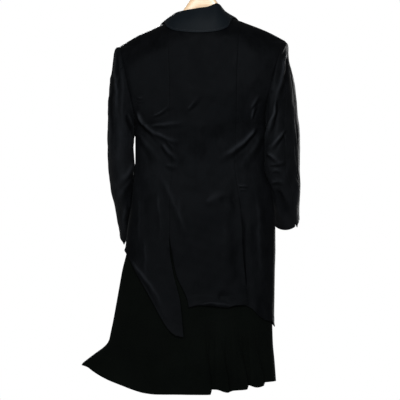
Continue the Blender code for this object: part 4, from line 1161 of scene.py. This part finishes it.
def under_layer(face):
    """Back or front of the longer, darker layer inside the velvet."""
    hem_left = BODY.at("left", UNDER_LENGTH)
    hem_right = BODY.at("right", UNDER_LENGTH)
    folded_x, even_x, folded_deep = under_columns(face, hem_left, hem_right)
    spread = np.where(folded_x > 0, folded_x, 0)
    hem_table = UNDER_BACK_HEM if face == 1 else UNDER_FRONT_HEM
    hem_x = folded_x + FLARE.at("out", UNDER_LENGTH) * ease(spread / hem_left, FLARE_START, 1)
    hem = hem_table.at("drop", hem_x)
    drop = UNDER_TOP + (hem - UNDER_TOP) * np.linspace(0, 1, UNDER_ROWS)[:, None]
    growth = ease(drop, PLEAT_TOP, hem)
    section = even_x + (folded_x - even_x) * growth**2
    deep = folded_deep * ease(growth, 0, 0.5)
    left = BODY.at("left", drop) - UNDER_INSET[1]
    right = BODY.at("right", drop) - UNDER_INSET[1]
    across = np.where(section > 0, section / hem_left, section / hem_right)
    x = across * np.where(section > 0, left, right)
    flare = FLARE.at("out", drop)
    u = np.clip(np.abs(across), 0, 1)
    bulge = bulged(u, SECTION_POWER - FLARE_ROUNDING * ease(flare, 0, 60) * (section > 0))
    depth = BODY.at(FACES[face], drop) - UNDER_INSET[face] - UNDER_CLEAR
    flute = FLUTE_DEPTH * np.sin(across * 15 + 0.6) * ease(drop, *FLUTE_DROPS) * ease(1 - u, 0, 0.25)
    hollow = VENT_HOLLOW * between(x, *HOLLOW_X) * between(drop, *HOLLOW_DROPS) if face == 1 else 0.0
    y = face * (depth * bulge + np.minimum(flute, 0.5) - deep - hollow + CLOSE_SEAM / 2)
    x = x + flare * ease(across, FLARE_START, 1)
    grid = np.stack([x, y, -drop], axis=-1)
    calm = ease(drop, UNDER_TOP, UNDER_TOP + 60) * ease(1 - u, 0, 0.1)
    heights = UNDER_WAVE * waves(x * 0.8, drop * 0.5) * calm
    for edge in ("left", "right"):
        heights = heights - UNDER_SEAM_DEPTH * bell(from_edge(grid, edge), UNDER_SEAM_WIDTH)
    allowance = 1 - ease(from_edge(grid, "bottom"), *UNDER_HEM_ENDS)
    heights = heights + UNDER_HEM_STEP * allowance * ease(1 - u, 0, 0.02)
    grid = grid + normals_of(grid, [0.0, face, 0.0]) * heights[..., None]
    node = "under_layer_" + FACES[face]
    cloth("twill_" + node, node, grid, UNDER_WALL, UNDER, "under_cloth")


def lathe(name, profile, around, finish, height_of):
    """A solid turned about Z through (radius, height) pairs; height_of gives its relief."""
    radius, height = np.array(profile, dtype=float).T
    angles = np.linspace(0, 2 * math.pi, around, endpoint=False)
    x = radius[:, None] * np.cos(angles)
    y = radius[:, None] * np.sin(angles)
    z = np.broadcast_to(height[:, None], x.shape)
    points = np.stack([x, y, z + height_of(x, y, z)], axis=-1)
    return mesh_piece(name, points.reshape(-1, 3), grid_faces(len(profile), around, True), finish)


def placed(piece, seat, outward):
    """Stands a piece made about Z on a seat, looking outward."""
    turn = Vector(outward).to_track_quat("Z", "Y").to_matrix().to_4x4()
    turn.translation = Vector(seat) * MM
    piece.data.transform(turn)


def hole_relief(x, y, z):
    """Sinks four round holes into a button's well."""
    total = np.zeros_like(x)
    in_well = (z > BUTTON_THICKNESS - WELL_TOP) * (np.hypot(x, y) < WELL_RADIUS)
    for hole_x in (-HOLE_PLACE, HOLE_PLACE):
        for hole_y in (-HOLE_PLACE, HOLE_PLACE):
            away = np.hypot(x - hole_x, y - hole_y)
            total -= HOLE_DEPTH * (1 - ease(away, *HOLE_RADII)) * in_well
    return total


def button(number, drop):
    """One button on its shank, with two bars of thread through its holes."""
    where = (np.array([BUTTON_X]), np.array([float(drop)]))
    base = torso(-1, *where)[0]
    outward = lifted(-1, *where, np.array([1.0]))[0] - base
    seat = base + outward * (VELVET_WALL / 2 + BUTTON_SHANK)
    top = BUTTON_THICKNESS
    well_edge, well_sunk = BUTTON_WELL
    profile = [(0.01, 0)] + [(BUTTON_RADIUS - inward, up) for inward, up in BUTTON_BACK]
    profile += [(BUTTON_RADIUS - inward, top - down) for inward, down in BUTTON_RIM]
    profile += [(radius, top - well_sunk) for radius in np.linspace(BUTTON_RADIUS - well_edge, 0.01, 26)]
    disc = lathe("button_disc_%d" % number, profile, 72, BUTTON, hole_relief)
    placed(disc, seat, outward)
    finished(disc, "button", "button_%d" % number)
    points, faces = [], []
    for bar in (-HOLE_PLACE, HOLE_PLACE):
        for strand in THREAD_STRANDS:
            path = [(x, bar + strand, top - down) for x, down in THREAD_PATH]
            add_tube(points, faces, path, THREAD_RADIUS, 8)
    thread = mesh_piece("button_thread_%d" % number, points, faces, THREAD)
    placed(thread, seat, outward)
    finished(thread, "satin")


def add_tube(points, faces, path, radius, around):
    """Adds a round tube with closed ends along a path to lists of points and four-cornered faces."""
    path = np.asarray(path, dtype=float)
    tangent = unit(np.gradient(path, axis=0))
    helper = np.array([0.0, 0.0, 1.0]) if abs(tangent[0][2]) < 0.9 else np.array([0.0, 1.0, 0.0])
    first = len(points)
    angles = np.linspace(0, 2 * math.pi, around, endpoint=False)
    side = np.cross(tangent[0], helper)
    radii = np.broadcast_to(radius, len(path))
    for i, centre in enumerate(path):
        side = unit(side - tangent[i] * np.dot(side, tangent[i]))
        other = np.cross(tangent[i], side)
        for angle in angles:
            points.append(centre + radii[i] * (math.cos(angle) * side + math.sin(angle) * other))
    for i in range(len(path) - 1):
        for j in range(around):
            k = (j + 1) % around
            row = first + i * around
            faces.append((row + j, row + k, row + around + k, row + around + j))
    for row in (first, first + (len(path) - 1) * around):
        for j in range(1, around - 2, 2):
            faces.append((row, row + j, row + j + 1, row + j + 2))


def add_worked_stitch(points, faces, x, drop, direction):
    """A stitch over a buttonhole's edge, from beside a point of the slit out in a direction."""
    reach = np.array(WORKED_REACH)
    foot = lifted(-1, x + reach * direction[0], drop + reach * direction[1], np.array(WORKED_HEIGHTS))
    middle = (foot[0] + foot[1]) / 2 + np.array([0, -WORKED_BOW, 0])
    add_tube(points, faces, [foot[0], middle, foot[1]], WORKED_RADIUS, 6)


def buttonholes():
    """Worked edges of the three holes in the upper front, beside the buttons."""
    points, faces = [], []
    round_end, under_button = BUTTONHOLE
    for drop in BUTTON_DROPS:
        for side in (-1, 1):
            for x in np.arange(round_end, under_button, WORKED_STEP):
                add_worked_stitch(points, faces, x, drop, (0, side))
        for angle in np.radians(np.arange(90, 271, 18)):
            add_worked_stitch(points, faces, round_end, drop, (math.cos(angle), math.sin(angle)))
    finished(mesh_piece("buttonhole_stitches", points, faces, THREAD), "satin")


def collar_stitches():
    """A row of small stitches inside the collar's and lapels' outer edge."""
    fall, _ = fall_grid(np.linspace(0.25, 17.75, 1400), np.linspace(0.8, 1, 41))
    column = np.argmin(np.abs(from_edge(fall, "right") - STITCH_INSIDE), axis=1)
    pick = np.arange(len(fall))
    normal = fall_normals(fall)[pick, column]
    line = fall[pick, column] + normal * (VELVET_WALL / 2 + STITCH_HEIGHT)
    length = np.concatenate([[0], np.cumsum(np.linalg.norm(np.diff(line, axis=0), axis=1))])
    points, faces = [], []
    for start in np.arange(2, length[-1] - 6, STITCH_STEP):
        at = start + np.array(STITCH_PLACES)
        path = np.stack([np.interp(at, length, part) for part in line.T], axis=-1)
        up = np.stack([np.interp(at, length, part) for part in normal.T], axis=-1)
        add_tube(points, faces, path + up * np.array(STITCH_RISE)[:, None], STITCH_RADIUS, 6)
    finished(mesh_piece("collar_edge_stitches", points, faces, THREAD), "satin")


def hanger_top(x):
    """Drop of the bar's upper edge: below the shoulders' cloth, or its hump in the neck."""
    under_shoulder = RIDGE.at("drop", x) + VELVET_WALL / 2 + HANGER_PLAY
    in_neck = (x > HANGER_HUMP.key[0]) & (x < HANGER_HUMP.key[-1])
    return np.where(in_neck, HANGER_HUMP.at("drop", x), under_shoulder)


def wooden_bar():
    """The shaped wooden bar, with its edges softly rounded."""
    half = np.concatenate([BAR_END_STATIONS, np.linspace(0.97, 0.01, 66)])
    stations = HANGER_HALF_LENGTH * np.concatenate([-half, half[::-1]])
    top = hanger_top(stations)
    smooth = np.convolve(np.pad(top, 2, mode="edge"), BAR_SMOOTHING, mode="valid")
    top = np.maximum(top, smooth)
    height = HANGER_BAR.at("height", np.abs(stations))
    thickness = HANGER_BAR.at("thickness", np.abs(stations))
    end = np.abs(stations) / HANGER_HALF_LENGTH
    shrink = np.interp(end, *BAR_END_ROUNDING)
    around = np.radians(np.arange(0, 360, 9) + 4.5)
    circle = np.stack([np.cos(around), np.sin(around)])
    side, up = np.sign(circle) * np.abs(circle) ** (2 / HANGER_SQUARENESS)
    y = side[None, :] * (thickness * shrink / 2)[:, None]
    z = -(top + height / 2)[:, None] + up[None, :] * (height * shrink / 2)[:, None]
    x = np.broadcast_to(stations[:, None], y.shape)
    rings = np.stack([x, y, z], axis=-1)
    ends = rings[[0, -1]]
    middles = np.mean(ends, axis=1, keepdims=True)
    caps = middles + (ends - middles) * 0.02
    rings = np.concatenate([caps[:1], rings, caps[1:]])
    bar = mesh_piece("wooden_hanger", rings.reshape(-1, 3), grid_faces(*rings.shape[:2], closed=True), WOOD)
    finished(bar, "wood", "hanger_body")


def steel_hook():
    """The wire hook, rounded off at its tip, with its neck's foot in the wood."""
    centre_z = -(HOOK_RADIUS - HOOK_WIRE / 2)
    start, end, step = HOOK_ANGLES
    knots = [HOOK_FOOT] + list(zip(HOOK_NECK.columns["x"], HOOK_NECK.columns["z"]))
    for angle in np.radians(np.arange(start, end, step / 2)):
        knots.append((HOOK_RADIUS * math.cos(angle), centre_z + HOOK_RADIUS * math.sin(angle)))
    knot_x, knot_z = np.array(knots).T
    index = np.arange(len(knots))
    fine = np.linspace(0, len(knots) - 1, HOOK_POINTS)
    path_x = through(index, knot_x, fine)
    path_z = through(index, knot_z, fine)
    path = np.stack([path_x, np.zeros(HOOK_POINTS), path_z], axis=-1)
    for _ in range(6):
        path[1:-1] = (path[:-2] + 2 * path[1:-1] + path[2:]) / 4
    radius = np.full(HOOK_POINTS, HOOK_WIRE / 2)
    radius[-len(HOOK_TIP):] *= HOOK_TIP
    points, faces = [], []
    add_tube(points, faces, path, radius, 20)
    finished(mesh_piece("steel_hook", points, faces, STEEL), "hook", "hanger_hook")


class Shader:
    """Builds one material's nodes about its main shader."""

    def __init__(self, name):
        self.material = bpy.data.materials.new(name)
        self.material.use_nodes = True
        self.tree = self.material.node_tree
        self.main = self.tree.nodes["Principled BSDF"]
        self.place = self.tree.nodes.new("ShaderNodeTexCoord").outputs["Object"]

    def fill(self, made, socket, value):
        """Links a value that comes from a node, and sets any other on the socket itself."""
        if isinstance(value, bpy.types.NodeSocket):
            self.tree.links.new(value, made.inputs[socket])
        else:
            made.inputs[socket].default_value = value

    def node(self, kind, inputs, **settings):
        made = self.tree.nodes.new(kind)
        for name, value in settings.items():
            setattr(made, name, value)
        for name, value in inputs.items():
            self.fill(made, name, value)
        return made

    def scaled(self, x, y, z):
        return self.node("ShaderNodeMapping", {"Vector": self.place, "Scale": (x, y, z)}).outputs["Vector"]

    def noise(self, scale, detail=2.0, rough=0.5, at=None):
        inputs = {"Vector": at or self.place, "Scale": scale, "Detail": detail, "Roughness": rough}
        return self.node("ShaderNodeTexNoise", inputs).outputs["Fac"]

    def bands(self, direction, scale, distortion, at=None, **inputs):
        inputs = {"Vector": at or self.place, "Scale": scale, "Distortion": distortion, **inputs}
        made = self.node("ShaderNodeTexWave", inputs, wave_type="BANDS", bands_direction=direction)
        return made.outputs["Fac"]

    def ramp(self, value, *stops):
        made = self.node("ShaderNodeValToRGB", {"Fac": value})
        for element, (at, colour) in zip(made.color_ramp.elements, stops):
            element.position = at
            element.color = (*colour, 1.0)
        return made.outputs["Color"]

    def spread(self, value, low, high, start=0.0, end=1.0):
        inputs = {"Value": value, "From Min": start, "From Max": end, "To Min": low, "To Max": high}
        return self.node("ShaderNodeMapRange", inputs).outputs["Result"]

    def multiplied(self, base, *shares):
        for share in shares:
            made = self.node("ShaderNodeMix", {}, data_type="RGBA", blend_type="MULTIPLY")
            for socket, value in zip(MIX_SOCKETS, (1.0, base, share)):
                self.fill(made, socket, value)
            base = made.outputs[MIX_RESULT]
        return base

    def bump(self, height, distance, strength, under=None):
        inputs = {"Height": height, "Distance": distance, "Strength": strength}
        if under is not None:
            inputs["Normal"] = under
        return self.node("ShaderNodeBump", inputs).outputs["Normal"]

    def done(self, **values):
        """Links or sets the named sockets of the main shader, and gives the material."""
        for name, value in values.items():
            self.fill(self.main, name.replace("_", " "), value)
        return self.material


def velvet_finish():
    """Near-black pile: soft cloudy lay, brushed streaks, and short fibres that catch light at a slant; its
    colour also carries painted highlights and sheen, up to five times brighter, and painted shade, down to a
    fifth.
    """
    made = Shader("velvet_pile")
    cloud = made.noise(7.0, 3.0, 0.55)
    lay = made.noise(38.0, 3.0, 0.6, made.scaled(1.0, 1.0, 0.45))
    streak = made.noise(210.0, 2.0, 0.6, made.scaled(1.0, 1.0, 0.3))
    fibre = made.noise(1900.0, 2.0, 0.7)
    painted_light = made.node("ShaderNodeAttribute", {}, attribute_name="painted_pile_light").outputs["Fac"]
    base = made.multiplied(
        made.ramp(cloud, (0.3, (0.0022, 0.0025, 0.0030)), (0.7, (0.0029, 0.0032, 0.0037))),
        made.spread(lay, 0.80, 1.25, 0.35, 0.65),
        made.spread(fibre, 0.65, 1.30, 0.35, 0.62),
        # Painted highlight and sheen brighten the colour up to five times; painted shade darkens it to a
        # fifth
        made.spread(painted_light, 1.0, 5.0),
        made.spread(painted_light, 0.2, 1.0, -1.0, 0.0),
    )
    soft = made.bump(streak, 0.0004, 0.4, made.bump(lay, 0.0010, 0.4))
    return made.done(
        Base_Color=base,
        Roughness=made.spread(lay, 0.44, 0.60, 0.3, 0.7),
        Normal=made.bump(fibre, 0.00015, 0.5, soft),
        Specular_IOR_Level=0.02,
        Specular_Tint=(0.80, 0.89, 1.0, 1.0),
        Sheen_Weight=0.010,
        Sheen_Roughness=0.35,
        Sheen_Tint=(0.84, 0.92, 1.0, 1.0),
    )


def satin_finish():
    """Smooth blue-black cloth with a fine cross rib and a broad soft shine."""
    made = Shader("blue_black_satin")
    cloud = made.noise(12.0, 2.0, 0.5)
    rib = made.bands("Z", 420.0, 0.6)
    warp = made.noise(900.0, 2.0, 0.6, made.scaled(1.0, 1.0, 0.15))
    base = made.ramp(cloud, (0.3, (0.0036, 0.0057, 0.0078)), (0.7, (0.0046, 0.0069, 0.0092)))
    thread = made.ramp(warp, (0.35, (0.8, 0.8, 0.8)), (0.65, (1.15, 1.15, 1.15)))
    return made.done(
        Base_Color=made.multiplied(base, thread),
        Roughness=made.spread(cloud, 0.50, 0.60, 0.3, 0.7),
        Normal=made.bump(warp, 0.00012, 0.4, made.bump(rib, 0.00012, 0.35)),
        Specular_IOR_Level=0.06,
        Sheen_Weight=0.006,
        Sheen_Roughness=0.4,
        Sheen_Tint=(0.75, 0.88, 1.0, 1.0),
    )


def under_finish():
    """Matt greenish-black twill."""
    made = Shader("matt_black_twill")
    cloud = made.noise(8.0, 3.0, 0.5)
    twill = made.bands("DIAGONAL", 260.0, 0.5, made.scaled(1.0, 0.4, 1.0))
    slub = made.noise(600.0, 2.0, 0.6, made.scaled(1.0, 1.0, 0.2))
    base = made.ramp(cloud, (0.3, (0.0009, 0.0014, 0.0011)), (0.7, (0.0019, 0.0026, 0.0021)))
    cord = made.ramp(twill, (0.2, (0.7, 0.7, 0.7)), (0.8, (1.2, 1.2, 1.2)))
    return made.done(
        Base_Color=made.multiplied(base, cord),
        Roughness=made.spread(slub, 0.86, 0.96, 0.3, 0.7),
        Normal=made.bump(slub, 0.0002, 0.4, made.bump(twill, 0.0003, 0.6)),
        Specular_IOR_Level=0.03,
        Sheen_Weight=0.004,
        Sheen_Roughness=0.6,
        Sheen_Tint=(0.8, 1.0, 0.9, 1.0),
    )


def wood_finish():
    """Pale lacquered beech: long grain along the bar, fine pores, and darker growth lines."""
    made = Shader("pale_beech")
    along = made.scaled(1.0, 9.0, 9.0)
    grain = made.bands("Z", 9.0, 5.0, along, **{"Detail": 3.0, "Detail Scale": 1.2})
    pore = made.noise(520.0, 3.0, 0.65, made.scaled(0.06, 1.0, 1.0))
    tone = made.noise(14.0, 2.0, 0.5)
    base = made.ramp(tone, (0.3, (0.86, 0.60, 0.36)), (0.7, (0.94, 0.72, 0.48)))
    line = made.ramp(grain, (0.35, (0.88, 0.84, 0.80)), (0.7, (1.0, 1.0, 1.0)))
    dots = made.ramp(pore, (0.36, (0.80, 0.74, 0.68)), (0.5, (1.0, 1.0, 1.0)))
    return made.done(
        Base_Color=made.multiplied(base, line, dots),
        Roughness=made.spread(pore, 0.42, 0.30, 0.35, 0.6),
        Normal=made.bump(pore, 0.0002, 0.35),
        Coat_Weight=0.35,
        Coat_Roughness=0.2,
    )


def steel_finish():
    """Bright drawn wire with fine marks along it."""
    made = Shader("drawn_steel")
    mark = made.noise(900.0, 3.0, 0.6, made.scaled(1.0, 1.0, 0.12))
    haze = made.noise(60.0, 2.0, 0.5)
    return made.done(
        Base_Color=made.ramp(haze, (0.3, (0.55, 0.55, 0.56)), (0.7, (0.70, 0.70, 0.71))),
        Roughness=made.spread(mark, 0.18, 0.34, 0.3, 0.7),
        Normal=made.bump(mark, 0.00005, 0.4),
        Metallic=1.0,
    )


def button_finish():
    """Black horn-like plastic, polished on its rim and clouded inside."""
    made = Shader("black_horn_plastic")
    cloud = made.noise(160.0, 3.0, 0.6)
    scuff = made.noise(1500.0, 2.0, 0.6)
    return made.done(
        Base_Color=made.ramp(cloud, (0.35, (0.006, 0.006, 0.007)), (0.7, (0.016, 0.015, 0.015))),
        Roughness=made.spread(scuff, 0.36, 0.50, 0.35, 0.65),
        Normal=made.bump(scuff, 0.00004, 0.4),
        Specular_IOR_Level=0.2,
    )


def thread_finish():
    """Black silk thread with its twist."""
    made = Shader("silk_thread")
    twist = made.bands("DIAGONAL", 1500.0, 0.4)
    return made.done(
        Base_Color=made.ramp(twist, (0.2, (0.006, 0.008, 0.010)), (0.8, (0.014, 0.017, 0.021))),
        Roughness=made.spread(twist, 0.4, 0.6),
        Normal=made.bump(twist, 0.00008, 0.5),
        Sheen_Weight=0.05,
    )


def floor_finish():
    """A pale, matt floor."""
    made = Shader("pale_floor")
    tone = made.noise(3.0, 3.0, 0.5)
    return made.done(
        Base_Color=made.ramp(tone, (0.3, (0.80, 0.80, 0.80)), (0.7, (0.83, 0.83, 0.83))), Roughness=0.8
    )


def area_light(name, where, size, power):
    """A square lamp that looks at the garment's middle."""
    light = bpy.data.lights.new(name, "AREA")
    light.shape = "RECTANGLE"
    light.size = size
    light.size_y = size
    light.energy = power
    made = bpy.data.objects.new(name, light)
    bpy.context.scene.collection.objects.link(made)
    made.location = where
    made.rotation_euler = (Vector(LIGHTS_AIM) - Vector(where)).to_track_quat("-Z", "Y").to_euler()


def studio():
    """White surroundings, a pale floor under the hanging garment, and soft lights on both sides."""
    scene = bpy.context.scene
    world = bpy.data.worlds.new("white_surroundings")
    world.use_nodes = True
    around = world.node_tree.nodes["Background"]
    around.inputs["Color"].default_value = (1.0, 1.0, 1.0, 1.0)
    seen = world.node_tree.nodes.new("ShaderNodeLightPath").outputs["Is Camera Ray"]
    shade = world.node_tree.nodes.new("ShaderNodeMapRange")
    shade.inputs["To Min"].default_value = AMBIENT
    world.node_tree.links.new(seen, shade.inputs["Value"])
    world.node_tree.links.new(shade.outputs["Result"], around.inputs["Strength"])
    scene.world = world
    scene.view_settings.view_transform = "Standard"
    where = (0.0, 0.0, FLOOR_Z)
    bpy.ops.mesh.primitive_circle_add(vertices=96, radius=FLOOR_RADIUS, fill_type="NGON", location=where)
    floor = bpy.context.active_object
    floor.name = "floor"
    floor.data.materials.append(floor_finish())
    for name, (where, size, power) in LIGHTS.items():
        area_light(name, where, size, power)


def camera():
    """Level with the garment's middle, behind it, as the photograph is taken."""
    lens = bpy.data.cameras.new("photo_camera")
    lens.sensor_width = 36.0
    lens.lens = lens.sensor_width * CAMERA_DISTANCE / FRAME_WIDTH
    lens.clip_start = 0.1
    lens.clip_end = 60.0
    made = bpy.data.objects.new("photo_camera", lens)
    bpy.context.scene.collection.objects.link(made)
    made.location = (FRAME_CENTRE_X, CAMERA_DISTANCE, FRAME_CENTRE_Z)
    made.rotation_euler = (math.radians(90), 0.0, math.radians(180))
    bpy.context.scene.camera = made


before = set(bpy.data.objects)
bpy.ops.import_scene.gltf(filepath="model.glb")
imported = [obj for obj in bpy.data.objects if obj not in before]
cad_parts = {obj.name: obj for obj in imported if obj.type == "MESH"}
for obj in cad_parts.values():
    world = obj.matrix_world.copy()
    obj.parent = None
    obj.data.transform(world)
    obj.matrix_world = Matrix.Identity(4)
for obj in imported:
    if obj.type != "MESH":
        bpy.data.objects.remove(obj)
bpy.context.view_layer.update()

VELVET = velvet_finish()
SATIN = satin_finish()
UNDER = under_finish()
WOOD = wood_finish()
STEEL = steel_finish()
BUTTON = button_finish()
THREAD = thread_finish()

studio()
camera()
back_centre()
for side in (1, -1):
    back_side(side)
    front(side)
    sleeve_piece(side, upper=True)
    sleeve_piece(side, upper=False)
collar()
under_layer(1)
under_layer(-1)
for number, drop in enumerate(BUTTON_DROPS):
    button(number + 1, drop)
buttonholes()
collar_stitches()
wooden_bar()
steel_hook()
